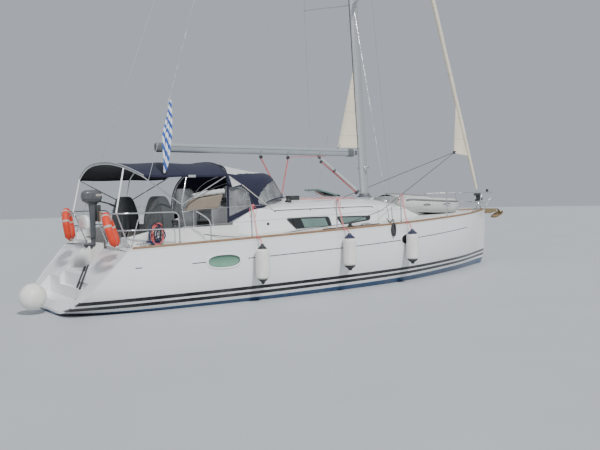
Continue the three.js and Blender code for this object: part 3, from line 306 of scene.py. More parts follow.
def turned(profile, place=(0, 0, 0), sides=28, axis="Z"):
    """A profile of radius and height turned about an upright axis, or one along X or Y."""
    profile = np.asarray(profile, float)
    turn = np.linspace(0, 2 * np.pi, sides, endpoint=False)
    r, h = profile[:, :1], profile[:, 1:]
    ring = {"X": (h + 0 * turn, r * np.cos(turn), r * np.sin(turn)),
            "Y": (r * np.sin(turn), h + 0 * turn, r * np.cos(turn)),
            "Z": (r * np.cos(turn), r * np.sin(turn), h + 0 * turn)}[axis]
    return patch(np.stack(ring, -1) + np.array(place, float), wrap=True)


def block(low, high, radius=0.01):
    """A box between two corners with rounded edges: four corner arcs, drawn in towards top and bottom by a
    quarter circle."""
    low, high = np.array(low, float), np.array(high, float)
    half, middle = (high - low) / 2, (high + low) / 2
    radius = min(radius, 0.98 * half.min())
    quarter = np.linspace(0, np.pi / 2, 4)
    inset, rise = radius * (1 - np.sin(quarter)), radius * (1 - np.cos(quarter))
    heights = np.concatenate([-half[2] + rise, half[2] - rise[::-1]])
    insets = np.concatenate([inset, inset[::-1]])
    turn = np.concatenate([quarter + k * np.pi / 2 for k in range(4)])
    corner = np.repeat([[1, 1], [-1, 1], [-1, -1], [1, -1]], 4, axis=0) * (half[:2] - radius)
    reach = np.stack([np.cos(turn), np.sin(turn)], -1)
    flat = corner[None] + (radius - insets)[:, None, None] * reach[None]
    rings = np.concatenate([flat, np.broadcast_to(heights[:, None, None], flat.shape[:2] + (1,))], -1)
    ends = [np.broadcast_to([0, 0, z], (1,) + rings.shape[1:]) for z in (-half[2], half[2])]
    return patch(np.concatenate([ends[0], rings, ends[1]]) + middle, wrap=True)


def prism(points, y0, y1, rounding=0.0):
    """An outline in x and z carried from y0 to y1, its faces drawn in a little towards their edges."""
    points = np.asarray(points, float)
    centre = points.mean(0)
    inset = 0.12 * (y1 - y0) if rounding else 0.0
    levels = [(y0, 0), (y0, 1 - rounding), (y0 + inset, 1), (y1 - inset, 1), (y1, 1 - rounding), (y1, 0)]
    rings = []
    for y, scale in levels:
        flat = centre + (points - centre) * scale
        rings.append(np.stack([flat[:, 0], np.full(len(flat), y), flat[:, 1]], -1))
    return patch(np.array(rings), wrap=True)


# Pieces

def build(name, parts, body="root", replaces=(), crease=40, subdivide=0):
    """One piece from pairs of a shape and its material: doubles merged, faces turned outwards, edges
    sharper than
    the crease angle kept sharp, and UVs in metres."""
    mesh = bpy.data.meshes.new(name)
    whole = total(shape for shape, _ in parts)
    vertices = whole.vertices - [MIDSHIPS, 0, 0]
    mesh.from_pydata(vertices.tolist(), [], whole.faces.tolist())
    layer = mesh.uv_layers.new(name="UVMap")
    layer.data.foreach_set("uv", whole.uvs.reshape(-1).astype(np.float32))
    materials = []
    numbers = []
    for shape, material in parts:
        if material not in materials:
            materials.append(material)
        numbers.append(np.full(len(shape.faces), materials.index(material)))
    for material in materials:
        mesh.materials.append(material)
    mesh.polygons.foreach_set("material_index", np.concatenate(numbers).astype(np.int32))
    tidy(mesh)
    mesh.polygons.foreach_set("use_smooth", np.ones(len(mesh.polygons), bool))
    mesh.set_sharp_from_angle(angle=math.radians(crease))
    obj = bpy.data.objects.new(name, mesh)
    bpy.context.scene.collection.objects.link(obj)
    if subdivide:
        modifier = obj.modifiers.new("smooth", "SUBSURF")
        modifier.levels = modifier.render_levels = subdivide
    if body:
        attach(obj, body)
    if replaces:
        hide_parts(*replaces)
    return obj


def tidy(mesh):
    """Merges doubled points and turns the faces of each closed part outwards."""
    work = bmesh.new()
    work.from_mesh(mesh)
    bmesh.ops.remove_doubles(work, verts=work.verts, dist=1e-5)
    bmesh.ops.recalc_face_normals(work, faces=work.faces)
    work.to_mesh(mesh)
    work.free()


def carve(obj, shapes):
    """Cuts closed shapes out of a piece."""
    for k, shape in enumerate(shapes):
        mesh = bpy.data.meshes.new("cutter")
        mesh.from_pydata((shape.vertices - [MIDSHIPS, 0, 0]).tolist(), [], shape.faces.tolist())
        tidy(mesh)
        cutter = bpy.data.objects.new("cutter", mesh)
        bpy.context.scene.collection.objects.link(cutter)
        modifier = obj.modifiers.new("cut", "BOOLEAN")
        modifier.operation = "DIFFERENCE"
        modifier.solver = "EXACT"
        modifier.object = cutter
        bpy.context.view_layer.update()
        done = bpy.data.meshes.new_from_object(obj.evaluated_get(bpy.context.evaluated_depsgraph_get()))
        obj.modifiers.clear()
        obj.data = done
        bpy.data.objects.remove(cutter)
    obj.data.set_sharp_from_angle(angle=math.radians(35))


# Materials

def add(tree, kind, inputs=None, **settings):
    """A node with its settings made and its inputs set or linked by name."""
    node = tree.nodes.new(kind)
    for key, value in settings.items():
        setattr(node, key, value)
    for key, value in (inputs or {}).items():
        if isinstance(value, bpy.types.NodeSocket):
            tree.links.new(value, node.inputs[key])
        else:
            node.inputs[key].default_value = value
    return node


def group(name, inputs, outputs):
    """An empty node group with named sockets, its tree, and the nodes at its two ends."""
    tree = bpy.data.node_groups.new(name, "ShaderNodeTree")
    for label, kind, value in inputs:
        socket = tree.interface.new_socket(label, in_out="INPUT", socket_type=kind)
        if value is not None:
            socket.default_value = value
    for label, kind in outputs:
        tree.interface.new_socket(label, in_out="OUTPUT", socket_type=kind)
    return tree, tree.nodes.new("NodeGroupInput"), tree.nodes.new("NodeGroupOutput")


FLOAT, COLOUR, VECTOR = "NodeSocketFloat", "NodeSocketColor", "NodeSocketVector"


def make_weathering():
    """Soft patches and upright streaks that shade a colour, with a roughness that follows them and a fine
    grain as height."""
    tree, start, end = group("weathering", [
        ("Colour", COLOUR, None), ("Shade", COLOUR, (0.5, 0.5, 0.5, 1)), ("Amount", FLOAT, 0.3),
        ("Patches", FLOAT, 2.0), ("Grain", FLOAT, 60.0), ("Roughness", FLOAT, 0.3), ("Spread", FLOAT, 0.1),
    ], [("Colour", COLOUR), ("Roughness", FLOAT), ("Height", FLOAT)])
    where = add(tree, "ShaderNodeTexCoord").outputs["Object"]
    stretched = add(tree, "ShaderNodeMapping", {"Vector": where, "Scale": (3.0, 3.0, 0.5)}).outputs[0]
    broad = add(tree, "ShaderNodeTexNoise",
                {"Vector": where, "Scale": start.outputs["Patches"], "Detail": 5.0})
    streaks = add(tree, "ShaderNodeTexNoise",
                  {"Vector": stretched, "Scale": start.outputs["Patches"], "Detail": 4.0})
    mixed = add(tree, "ShaderNodeMath", {0: broad.outputs["Fac"], 1: streaks.outputs["Fac"]},
                operation="MULTIPLY")
    mask = add(tree, "ShaderNodeMapRange", {"Value": mixed.outputs[0], "From Min": 0.16, "From Max": 0.42})
    amount = add(tree, "ShaderNodeMath", {0: mask.outputs[0], 1: start.outputs["Amount"]},
                 operation="MULTIPLY")
    colour = add(tree, "ShaderNodeMix", {"Factor": amount.outputs[0]}, data_type="RGBA")
    tree.links.new(start.outputs["Colour"], colour.inputs[6])
    tree.links.new(start.outputs["Shade"], colour.inputs[7])
    rough = add(tree, "ShaderNodeMath", {
        0: mask.outputs[0], 1: start.outputs["Spread"], 2: start.outputs["Roughness"]},
        operation="MULTIPLY_ADD")
    grain = add(tree, "ShaderNodeTexNoise", {"Vector": where, "Scale": start.outputs["Grain"], "Detail": 3.0})
    tree.links.new(colour.outputs[2], end.inputs["Colour"])
    tree.links.new(rough.outputs[0], end.inputs["Roughness"])
    tree.links.new(grain.outputs["Fac"], end.inputs["Height"])
    return tree


def make_weave():
    """Threads over and under: the product of two sine waves across a surface's UVs, as height, and painted
    shade that darkens the colour between the threads."""
    tree, start, end = group("weave", [
        ("Colour", COLOUR, None), ("Threads", FLOAT, 260.0), ("Depth", FLOAT, 0.25),
    ], [("Colour", COLOUR), ("Height", FLOAT)])
    where = add(tree, "ShaderNodeTexCoord").outputs["UV"]
    split = add(tree, "ShaderNodeSeparateXYZ", {0: where})
    waves = []
    for axis in (0, 1):
        scaled = add(tree, "ShaderNodeMath", {0: split.outputs[axis], 1: start.outputs["Threads"]},
                     operation="MULTIPLY")
        waves.append(add(tree, "ShaderNodeMath", {0: scaled.outputs[0]}, operation="SINE"))
    both = add(tree, "ShaderNodeMath", {0: waves[0].outputs[0], 1: waves[1].outputs[0]}, operation="MULTIPLY")
    height = add(tree, "ShaderNodeMath", {0: both.outputs[0], 1: 0.5, 2: 0.5}, operation="MULTIPLY_ADD")
    # Painted shade: where the threads dip, the colour is mixed towards near black.
    gap = add(tree, "ShaderNodeMath", {0: 1.0, 1: height.outputs[0]}, operation="SUBTRACT")
    shade = add(tree, "ShaderNodeMath", {0: gap.outputs[0], 1: start.outputs["Depth"]}, operation="MULTIPLY")
    colour = add(tree, "ShaderNodeMix", {"Factor": shade.outputs[0]}, data_type="RGBA")
    tree.links.new(start.outputs["Colour"], colour.inputs[6])
    colour.inputs[7].default_value = (0.01, 0.01, 0.012, 1)
    tree.links.new(colour.outputs[2], end.inputs["Colour"])
    tree.links.new(height.outputs[0], end.inputs["Height"])
    return tree


def make_folds():
    """Slack cloth: two sizes of warped noise on the object's own coordinates, as height."""
    tree, start, end = group("folds", [
        ("Size", FLOAT, 3.0), ("Stretch", VECTOR, (1.0, 1.0, 1.0)),
    ], [("Height", FLOAT)])
    where = add(tree, "ShaderNodeTexCoord").outputs["Object"]
    along_it = add(tree, "ShaderNodeMapping", {"Vector": where, "Scale": start.outputs["Stretch"]}).outputs[0]
    noise = add(tree, "ShaderNodeTexNoise", {
        "Vector": along_it, "Scale": start.outputs["Size"], "Detail": 3.0, "Distortion": 0.8})
    tree.links.new(noise.outputs["Fac"], end.inputs["Height"])
    return tree


WEATHERING, WEAVE, FOLDS = make_weathering(), make_weave(), make_folds()


class Finish:
    """A material's tree, its shader, and its colour so far."""

    def __init__(self, name, **shader):
        self.material = bpy.data.materials.new(name)
        self.material.use_nodes = True
        self.tree = self.material.node_tree
        self.shader = self.tree.nodes["Principled BSDF"]
        for key, value in shader.items():
            self.shader.inputs[key.replace("_", " ")].default_value = value

    def add(self, kind, inputs=None, **settings):
        return add(self.tree, kind, inputs, **settings)

    def use(self, tree, **inputs):
        """A group node with its inputs set or linked."""
        node = self.add("ShaderNodeGroup", node_tree=tree)
        for key, value in inputs.items():
            if isinstance(value, bpy.types.NodeSocket):
                self.tree.links.new(value, node.inputs[key])
            else:
                node.inputs[key].default_value = value
        return node

    def math(self, operation, a, b=0.0, c=0.0):
        return self.add("ShaderNodeMath", {0: a, 1: b, 2: c}, operation=operation).outputs[0]

    def mix(self, factor, a, b):
        """One colour over another."""
        node = self.add("ShaderNodeMix", {"Factor": factor}, data_type="RGBA")
        for socket, value in ((node.inputs[6], a), (node.inputs[7], b)):
            if isinstance(value, bpy.types.NodeSocket):
                self.tree.links.new(value, socket)
            else:
                socket.default_value = value
        return node.outputs[2]

    def link(self, **sockets):
        for key, value in sockets.items():
            self.tree.links.new(value, self.shader.inputs[key.replace("_", " ")])

    def bump(self, height, distance, strength=1.0, under=None):
        inputs = {"Height": height, "Distance": distance, "Strength": strength}
        if under is not None:
            inputs["Normal"] = under
        return self.add("ShaderNodeBump", inputs).outputs[0]

    def place(self):
        """The object coordinates, apart."""
        where = self.add("ShaderNodeTexCoord").outputs["Object"]
        return self.add("ShaderNodeSeparateXYZ", {0: where}).outputs


def rgb(r, g, b):
    return (r, g, b, 1.0)


def weathered(name, colour, shade, amount=0.3, patches=2.0, grain=60.0, roughness=0.3, spread=0.1,
              height=0.0005,
              **shader):
    """A painted, moulded or metal finish."""
    finish = Finish(name, **shader)
    wear = finish.use(WEATHERING, Colour=colour, Shade=shade, Amount=amount, Patches=patches, Grain=grain,
                      Roughness=roughness, Spread=spread)
    finish.link(Base_Color=wear.outputs["Colour"], Roughness=wear.outputs["Roughness"])
    finish.link(Normal=finish.bump(wear.outputs["Height"], height, 0.5))
    return finish.material


def woven(name, colour, fade, threads=260.0, depth=0.25, folds=3.0, slack=0.012, roughness=0.85, sheen=0.3,
          **shader):
    """A cloth: faded patches, a weave on the UVs, and slack folds."""
    finish = Finish(name, Sheen_Weight=sheen, Sheen_Roughness=0.4, **shader)
    wear = finish.use(WEATHERING, Colour=colour, Shade=fade, Amount=0.35, Patches=1.6, Grain=300.0,
                      Roughness=roughness, Spread=0.08)
    # depth sets how strongly painted shade darkens the gaps between the threads.
    cloth = finish.use(WEAVE, Colour=wear.outputs["Colour"], Threads=threads * 2 * math.pi, Depth=depth)
    loose = finish.use(FOLDS, Size=folds)
    fine = finish.bump(cloth.outputs["Height"], 0.0006, 0.6)
    finish.link(Base_Color=cloth.outputs["Colour"], Roughness=wear.outputs["Roughness"])
    finish.link(Normal=finish.bump(loose.outputs["Height"], slack, 0.8, fine))
    return finish.material


def hull_paint():
    """White gelcoat over blue antifouling: two navy stripes that rise forward, and a thin line below the
    sheer."""
    finish = Finish("hull_paint", Coat_Weight=0.15, Coat_Roughness=0.06, Specular_IOR_Level=0.3)
    x, _, z = finish.place()
    rising = finish.math("MULTIPLY_ADD", x, -0.0093, z)
    place = finish.math("MULTIPLY_ADD", rising, 1.0, 0.5 - 0.3496)
    ramp = finish.add("ShaderNodeValToRGB", {"Fac": place})
    ramp.color_ramp.interpolation = "CONSTANT"
    white, navy, blue = rgb(0.80, 0.81, 0.82), rgb(0.003, 0.003, 0.007), rgb(0.014, 0.060, 0.150)
    bands = ((0.0, blue), (0.250, white), (0.308, navy), (0.374, white), (0.412, navy), (0.479, white))
    stops = ramp.color_ramp.elements
    for k, (position, colour) in enumerate(bands):
        stop = stops[k] if k < 2 else stops.new(position)
        stop.position = position
        stop.color = colour
    forward = finish.math("ADD", x, MIDSHIPS)
    line = finish.math("MULTIPLY", finish.math("MULTIPLY_ADD", forward, 0.0021, 0.008), forward)
    off = finish.math("ABSOLUTE", finish.math("SUBTRACT", z, finish.math("ADD", line, 0.79)))
    thin = finish.math("LESS_THAN", off, 0.0085)
    runs = [finish.math("COMPARE", forward, middle, half) for middle,
            half in ((1.00, 0.06), (2.08, 0.13), (6.40, 3.36))]
    shown = finish.math("MAXIMUM", runs[0], finish.math("MAXIMUM", runs[1], runs[2]))
    lined = finish.mix(finish.math("MULTIPLY", thin, shown), ramp.outputs["Color"], rgb(0.05, 0.055, 0.075))
    wear = finish.use(WEATHERING, Colour=lined, Shade=rgb(0.46, 0.45, 0.42), Amount=0.10, Patches=1.3,
                      Grain=14.0,
                      Roughness=0.16, Spread=0.16)
    finish.link(Base_Color=wear.outputs["Colour"], Roughness=wear.outputs["Roughness"])
    finish.link(Normal=finish.bump(wear.outputs["Height"], 0.0012, 0.25))
    return finish.material


def non_skid():
    """Moulded deck: smooth gelcoat with a diamond-grained tread where it lies flat."""
    finish = Finish("non_skid", Coat_Weight=0.1)
    wear = finish.use(WEATHERING, Colour=rgb(0.74, 0.74, 0.72), Shade=rgb(0.52, 0.51, 0.47), Amount=0.30,
                      Patches=2.5,
                      Grain=90.0, Roughness=0.38, Spread=0.25)
    x, y, z = finish.place()
    turned_x = finish.math("SINE", finish.math("MULTIPLY", finish.math("ADD", x, y), 330.0))
    turned_y = finish.math("SINE", finish.math("MULTIPLY", finish.math("SUBTRACT", x, y), 330.0))
    tread = finish.math("MULTIPLY", turned_x, turned_y)
    upward = finish.add("ShaderNodeSeparateXYZ",
                        {0: finish.add("ShaderNodeNewGeometry").outputs["Normal"]}).outputs[2]
    flat = finish.math("GREATER_THAN", upward, 0.93)
    finish.link(Base_Color=wear.outputs["Colour"], Roughness=wear.outputs["Roughness"])
    finish.link(Normal=finish.bump(finish.math("MULTIPLY", tread, flat), 0.0012, 0.7))
    return finish.material


def planked(name="planked_cockpit"):
    """White mouldings whose level seats and sole are laid with teak strips and dark seams."""
    finish = Finish(name)
    x, y, z = finish.place()
    across = finish.math("FRACT", finish.math("MULTIPLY", y, 1 / 0.052))
    seam = finish.math("LESS_THAN", across, 0.09)
    where = finish.add("ShaderNodeTexCoord").outputs["Object"]
    stretched = finish.add("ShaderNodeMapping", {"Vector": where, "Scale": (1.2, 26.0, 1.0)}).outputs[0]
    grain = finish.add("ShaderNodeTexNoise",
                       {"Vector": stretched, "Scale": 7.0, "Detail": 6.0}).outputs["Fac"]
    wood = finish.mix(grain, rgb(0.34, 0.22, 0.13), rgb(0.20, 0.12, 0.065))
    strips = finish.mix(seam, wood, rgb(0.02, 0.018, 0.016))
    wear = finish.use(WEATHERING, Colour=rgb(0.76, 0.76, 0.75), Shade=rgb(0.55, 0.54, 0.50), Amount=0.25,
                      Patches=3.0,
                      Grain=60.0, Roughness=0.24, Spread=0.2)
    upward = finish.add("ShaderNodeSeparateXYZ",
                        {0: finish.add("ShaderNodeNewGeometry").outputs["Normal"]}).outputs[2]
    level = finish.math("GREATER_THAN", upward, 0.95)
    low = finish.math("LESS_THAN", z, 1.10)
    inboard = finish.math("LESS_THAN", finish.math("ABSOLUTE", y), 1.10)
    laid = finish.math("MULTIPLY", level, finish.math("MULTIPLY", low, inboard))
    finish.link(Base_Color=finish.mix(laid, wear.outputs["Colour"], strips))
    finish.link(Roughness=finish.math("MAXIMUM", wear.outputs["Roughness"],
                                      finish.math("MULTIPLY", laid, 0.62)))
    finish.link(Normal=finish.bump(finish.math("MULTIPLY", laid, finish.math("SUBTRACT", grain, seam)),
                                   0.0015, 0.6))
    return finish.material


def timber(name, light, dark, roughness=0.55, direction=(1.2, 22.0, 22.0)):
    """Wood with its grain along the boat."""
    finish = Finish(name)
    where = finish.add("ShaderNodeTexCoord").outputs["Object"]
    stretched = finish.add("ShaderNodeMapping", {"Vector": where, "Scale": direction}).outputs[0]
    grain = finish.add("ShaderNodeTexNoise",
                       {"Vector": stretched, "Scale": 4.0, "Detail": 7.0, "Distortion": 0.5})
    wear = finish.use(WEATHERING, Colour=finish.mix(grain.outputs["Fac"], light, dark),
                      Shade=rgb(0.42, 0.36, 0.30),
                      Amount=0.25, Patches=3.0, Grain=120.0, Roughness=roughness, Spread=0.15)
    finish.link(Base_Color=wear.outputs["Colour"], Roughness=wear.outputs["Roughness"])
    finish.link(Normal=finish.bump(grain.outputs["Fac"], 0.001, 0.5))
    return finish.material


def tinted_window():
    """Dark acrylic with a paler green curtain behind parts of it."""
    finish = Finish("tinted_window", Roughness=0.06, Coat_Weight=0.6, Coat_Roughness=0.03)
    x, _, z = finish.place()
    forward = finish.math("ADD", x, MIDSHIPS)
    curtains = [finish.math("COMPARE", finish.math("MULTIPLY_ADD", z, 0.35, forward), middle, half)
                for middle, half in ((5.62, 0.32), (6.72, 0.38))]
    curtain = finish.math("MAXIMUM", *curtains)
    noise = finish.add("ShaderNodeTexNoise", {"Scale": 5.0, "Detail": 4.0,
                                              "Vector": finish.add("ShaderNodeTexCoord").outputs["Object"]})
    pale = finish.mix(noise.outputs["Fac"], rgb(0.16, 0.24, 0.21), rgb(0.09, 0.15, 0.135))
    finish.link(Base_Color=finish.mix(curtain, rgb(0.012, 0.016, 0.017), pale))
    return finish.material


def port_glass():
    """The hull port's pale green glass, darker along its upper edge."""
    finish = Finish("port_glass", Roughness=0.08, Coat_Weight=0.5, Coat_Roughness=0.04)
    _, _, z = finish.place()
    shade = finish.add("ShaderNodeMapRange", {"Value": z, "From Min": 0.76, "From Max": 0.92}).outputs[0]
    noise = finish.add("ShaderNodeTexNoise", {"Scale": 9.0, "Detail": 3.0,
                                              "Vector": finish.add("ShaderNodeTexCoord").outputs["Object"]})
    green = finish.mix(noise.outputs["Fac"], rgb(0.22, 0.40, 0.29), rgb(0.13, 0.28, 0.20))
    finish.link(Base_Color=finish.mix(shade, green, rgb(0.07, 0.17, 0.12)))
    return finish.material


def braided(name, colour, fleck, size=0.012):
    """Rope: a colour and its fleck in crossing diagonals along the line's UVs, with the strands as height."""
    finish = Finish(name, Roughness=0.75)
    split = finish.add("ShaderNodeSeparateXYZ", {0: finish.add("ShaderNodeTexCoord").outputs["UV"]}).outputs
    scale = 2 * math.pi / size
    plus = finish.math("SINE", finish.math("MULTIPLY", finish.math("ADD", split[0], split[1]), scale))
    minus = finish.math("SINE", finish.math("MULTIPLY", finish.math("SUBTRACT", split[0], split[1]), scale))
    strands = finish.math("MULTIPLY", plus, minus)
    flecked = finish.math("GREATER_THAN", strands, 0.45)
    finish.link(Base_Color=finish.mix(flecked, colour, fleck))
    finish.link(Normal=finish.bump(strands, 0.0012, 0.6))
    return finish.material


def striped_flag():
    """Bunting in blue and white stripes that slant as its folds do."""
    finish = Finish("striped_flag", Sheen_Weight=0.2, Roughness=0.8)
    x, y, z = finish.place()
    slant = finish.math("MULTIPLY_ADD", x, 2.2, finish.math("MULTIPLY_ADD", y, 1.5, z))
    wave = finish.math("SINE", finish.math("MULTIPLY", slant, 2 * math.pi / 0.26))
    cloth = finish.use(WEAVE, Colour=finish.mix(finish.math("GREATER_THAN", wave, 0.1), rgb(0.75, 0.78, 0.84),
                                                rgb(0.02, 0.09, 0.42)), Threads=1500.0, Depth=0.12)
    folds = finish.use(FOLDS, Size=6.0)
    finish.link(Base_Color=cloth.outputs["Colour"])
    finish.link(Normal=finish.bump(folds.outputs["Height"], 0.01, 0.5))
    return finish.material


def sail_panels(name, colour, seams=0.55):
    """Woven sailcloth with a darker double stitched seam every so often up its height."""
    finish = Finish(name, Sheen_Weight=0.1)
    _, _, z = finish.place()
    step = finish.math("FRACT", finish.math("MULTIPLY", z, 1 / seams))
    seam = finish.math("LESS_THAN", step, 0.035)
    wear = finish.use(WEATHERING, Colour=colour, Shade=rgb(0.50, 0.45, 0.36), Amount=0.30, Patches=2.2,
                      Grain=80.0,
                      Roughness=0.6, Spread=0.15)
    cloth = finish.use(WEAVE, Colour=finish.mix(finish.math("MULTIPLY", seam, 0.35), wear.outputs["Colour"],
                                                rgb(0.35, 0.31, 0.25)), Threads=1900.0, Depth=0.08)
    folds = finish.use(FOLDS, Size=5.0, Stretch=(1.0, 1.0, 0.35))
    finish.link(Base_Color=cloth.outputs["Colour"], Roughness=wear.outputs["Roughness"])
    finish.link(Normal=finish.bump(folds.outputs["Height"], 0.010, 0.6))
    return finish.material


def clear_vinyl():
    """A soft clear window, a little milky and creased, paler where its creases rise: partly real milkiness
    and partly painted highlight.
    """
    finish = Finish("clear_vinyl", Roughness=0.10, Coat_Weight=0.3)
    finish.material.surface_render_method = "BLENDED"
    folds = finish.use(FOLDS, Size=4.0, Stretch=(1.0, 1.0, 0.4))
    milk = finish.add("ShaderNodeMapRange",
                      {"Value": folds.outputs["Height"], "From Min": 0.42, "From Max": 0.62,
                                             "To Min": 0.45, "To Max": 0.80}).outputs[0]
    # Partly painted highlight: the raised creases are coloured pale as streaks of reflected light, over the
    # vinyl's real milkiness.
    crease_haze_and_highlight = finish.mix(folds.outputs["Height"], rgb(0.10, 0.105, 0.11), rgb(0.46, 0.47, 0.48))
    finish.link(Base_Color=crease_haze_and_highlight, Alpha=milk)
    finish.link(Normal=finish.bump(folds.outputs["Height"], 0.02, 0.5))
    return finish.material


WHITE = weathered("white_gelcoat", rgb(0.80, 0.81, 0.81), rgb(0.58, 0.57, 0.54), amount=0.2, roughness=0.18,
                  spread=0.2, Coat_Weight=0.4)
STEEL = weathered("polished_steel", rgb(0.72, 0.73, 0.74), rgb(0.45, 0.44, 0.43), amount=0.35, patches=7.0,
                  grain=180.0, roughness=0.12, spread=0.18, Metallic=1.0)
SPAR = weathered("anodised_spar", rgb(0.58, 0.60, 0.61), rgb(0.40, 0.41, 0.42), amount=0.4, patches=1.5,
                 grain=220.0,
                 roughness=0.34, spread=0.12, Metallic=0.75)
BOOM_GREY = weathered("painted_boom", rgb(0.33, 0.36, 0.38), rgb(0.25, 0.27, 0.29), amount=0.35, patches=1.2,
                      grain=160.0, roughness=0.42, spread=0.15, Metallic=0.2)
VANG_GREY = weathered("painted_strut", rgb(0.48, 0.50, 0.51), rgb(0.34, 0.35, 0.36), amount=0.35, patches=4.0,
                      roughness=0.4, spread=0.15)
DARK = weathered("black_moulding", rgb(0.022, 0.024, 0.027), rgb(0.09, 0.09, 0.09), amount=0.4, patches=9.0,
                 grain=150.0, roughness=0.42, spread=0.2)
CASTING = weathered("dark_casting", rgb(0.10, 0.11, 0.12), rgb(0.20, 0.20, 0.20), amount=0.4, patches=8.0,
                    grain=120.0,
                    roughness=0.4, spread=0.2, Metallic=0.3)
COWL = weathered("outboard_paint", rgb(0.080, 0.082, 0.088), rgb(0.17, 0.17, 0.17), amount=0.3, patches=6.0,
                 roughness=0.25, spread=0.2, Coat_Weight=0.4)
RUSTED = weathered("weathered_galvanising", rgb(0.24, 0.20, 0.11), rgb(0.26, 0.10, 0.035), amount=0.85,
                   patches=9.0,
                   grain=60.0, roughness=0.6, spread=0.3, height=0.003, Metallic=0.35)
BRONZE = weathered("cast_bronze", rgb(0.42, 0.30, 0.14), rgb(0.16, 0.20, 0.15), amount=0.5, patches=7.0,
                   grain=90.0,
                   roughness=0.35, spread=0.3, Metallic=1.0)
ANTIFOULING = weathered("antifouling", rgb(0.035, 0.13, 0.27), rgb(0.06, 0.12, 0.13), amount=0.6, patches=3.0,
                        grain=40.0, roughness=0.7, spread=0.2, height=0.002)
ENGINE = weathered("engine_enamel", rgb(0.30, 0.045, 0.03), rgb(0.10, 0.05, 0.04), amount=0.5, patches=8.0,
                   roughness=0.4, spread=0.3)
TEAK = timber("oiled_teak", rgb(0.33, 0.19, 0.10), rgb(0.19, 0.10, 0.05))
JOINERY = timber("varnished_joinery", rgb(0.33, 0.16, 0.07), rgb(0.18, 0.075, 0.03), roughness=0.25)
VINYL = weathered("fender_vinyl", rgb(0.78, 0.77, 0.73), rgb(0.50, 0.48, 0.43), amount=0.4, patches=5.0,
                  grain=90.0,
                  roughness=0.32, spread=0.2)
NAVY_VINYL = weathered("fender_end", rgb(0.020, 0.024, 0.065), rgb(0.07, 0.07, 0.09), amount=0.4, patches=9.0,
                       roughness=0.4, spread=0.2)
TUBE_GREY = weathered("coated_fabric", rgb(0.56, 0.58, 0.56), rgb(0.36, 0.37, 0.35), amount=0.45, patches=4.0,
                      grain=260.0, roughness=0.5, spread=0.2, height=0.001)
STRAKE = weathered("rubbing_strake", rgb(0.13, 0.14, 0.14), rgb(0.26, 0.26, 0.25), amount=0.5, patches=6.0,
                   roughness=0.55, spread=0.2)
STRAKE_GREY = weathered("dinghy_board", rgb(0.40, 0.41, 0.40), rgb(0.28, 0.28, 0.27), amount=0.5, patches=5.0,
                        roughness=0.5, spread=0.2)
DARK_CAST = weathered("dark_casting", rgb(0.13, 0.14, 0.15), rgb(0.22, 0.22, 0.22), amount=0.5, patches=6.0,
                      roughness=0.45, spread=0.2, Metallic=0.3)
NAVY = woven("navy_canvas", rgb(0.008, 0.009, 0.034), rgb(0.020, 0.023, 0.060), sheen=0.1)
# Painted shade: a near-black copy of the navy canvas, used for the bimini's underside.
NAVY_UNDERSIDE_SHADE = woven("canvas_underside_shade", rgb(0.006, 0.006, 0.010), rgb(0.012, 0.012, 0.02), sheen=0.1)
GREY_CLOTH = woven("grey_canvas", rgb(0.058, 0.066, 0.070), rgb(0.12, 0.13, 0.13), folds=5.0, slack=0.03,
                   sheen=0.3)
BINDING = woven("light_binding", rgb(0.42, 0.43, 0.45), rgb(0.30, 0.31, 0.32), slack=0.002)
TAN_CLOTH = woven("tan_canvas", rgb(0.27, 0.225, 0.175), rgb(0.18, 0.15, 0.12), folds=4.0, slack=0.02)
WHITE_CLOTH = woven("white_canvas", rgb(0.66, 0.66, 0.65), rgb(0.48, 0.47, 0.45), slack=0.006)
LEATHER = weathered("stitched_leather", rgb(0.030, 0.030, 0.032), rgb(0.08, 0.07, 0.065), amount=0.5,
                    patches=12.0,
                    grain=420.0, roughness=0.55, spread=0.2, height=0.0008)
LEG_PAINT = weathered("leg_paint", rgb(0.055, 0.062, 0.068), rgb(0.12, 0.12, 0.12), amount=0.4, patches=6.0,
                      roughness=0.35, spread=0.2, Coat_Weight=0.2)
ORANGE = woven("buoy_cover", rgb(0.72, 0.045, 0.010), rgb(0.50, 0.04, 0.012), threads=200.0, depth=0.15,
               folds=9.0,
               slack=0.012, roughness=0.55, sheen=0.2)
WEBBING = woven("pale_webbing", rgb(0.50, 0.47, 0.42), rgb(0.32, 0.30, 0.27), slack=0.002)
SAILCLOTH = sail_panels("cream_sailcloth", rgb(0.78, 0.70, 0.56))
RED_ROPE = braided("red_rope", rgb(0.55, 0.035, 0.045), rgb(0.72, 0.45, 0.42))
PINK_ROPE = braided("pink_rope", rgb(0.72, 0.10, 0.12), rgb(0.78, 0.50, 0.48))
PALE_ROPE = braided("pale_rope", rgb(0.60, 0.58, 0.54), rgb(0.20, 0.24, 0.36))
NAVY_ROPE = braided("navy_rope", rgb(0.012, 0.016, 0.070), rgb(0.05, 0.06, 0.16))
BLACK_ROPE = braided("black_rope", rgb(0.018, 0.018, 0.020), rgb(0.14, 0.14, 0.15))
FLAG = striped_flag()
WINDOW, PORT_GLASS, CLEAR = tinted_window(), port_glass(), clear_vinyl()
HULL_PAINT, NON_SKID, PLANKED = hull_paint(), non_skid(), planked()


# Hull and deck

def sheer_z(x):
    return SHEER_AFT + SHEER_RISE * x


def sheer_y(x):
    return at_x(HULL_ROWS, x)[..., 1]


def deck_z(x, y):
    """The deck's surface: the sheer, the deck's thickness, and a camber that falls with the square of y."""
    half = np.maximum(sheer_y(x), 0.001)
    return sheer_z(x) + DECK_THICKNESS + DECK_CAMBER * half / 1.92 * (1 - np.minimum(1, (y / half) ** 2))


def mast_x(z):
    return MAST_FOOT[0] - (z - MAST_FOOT[1]) * MAST_RAKE


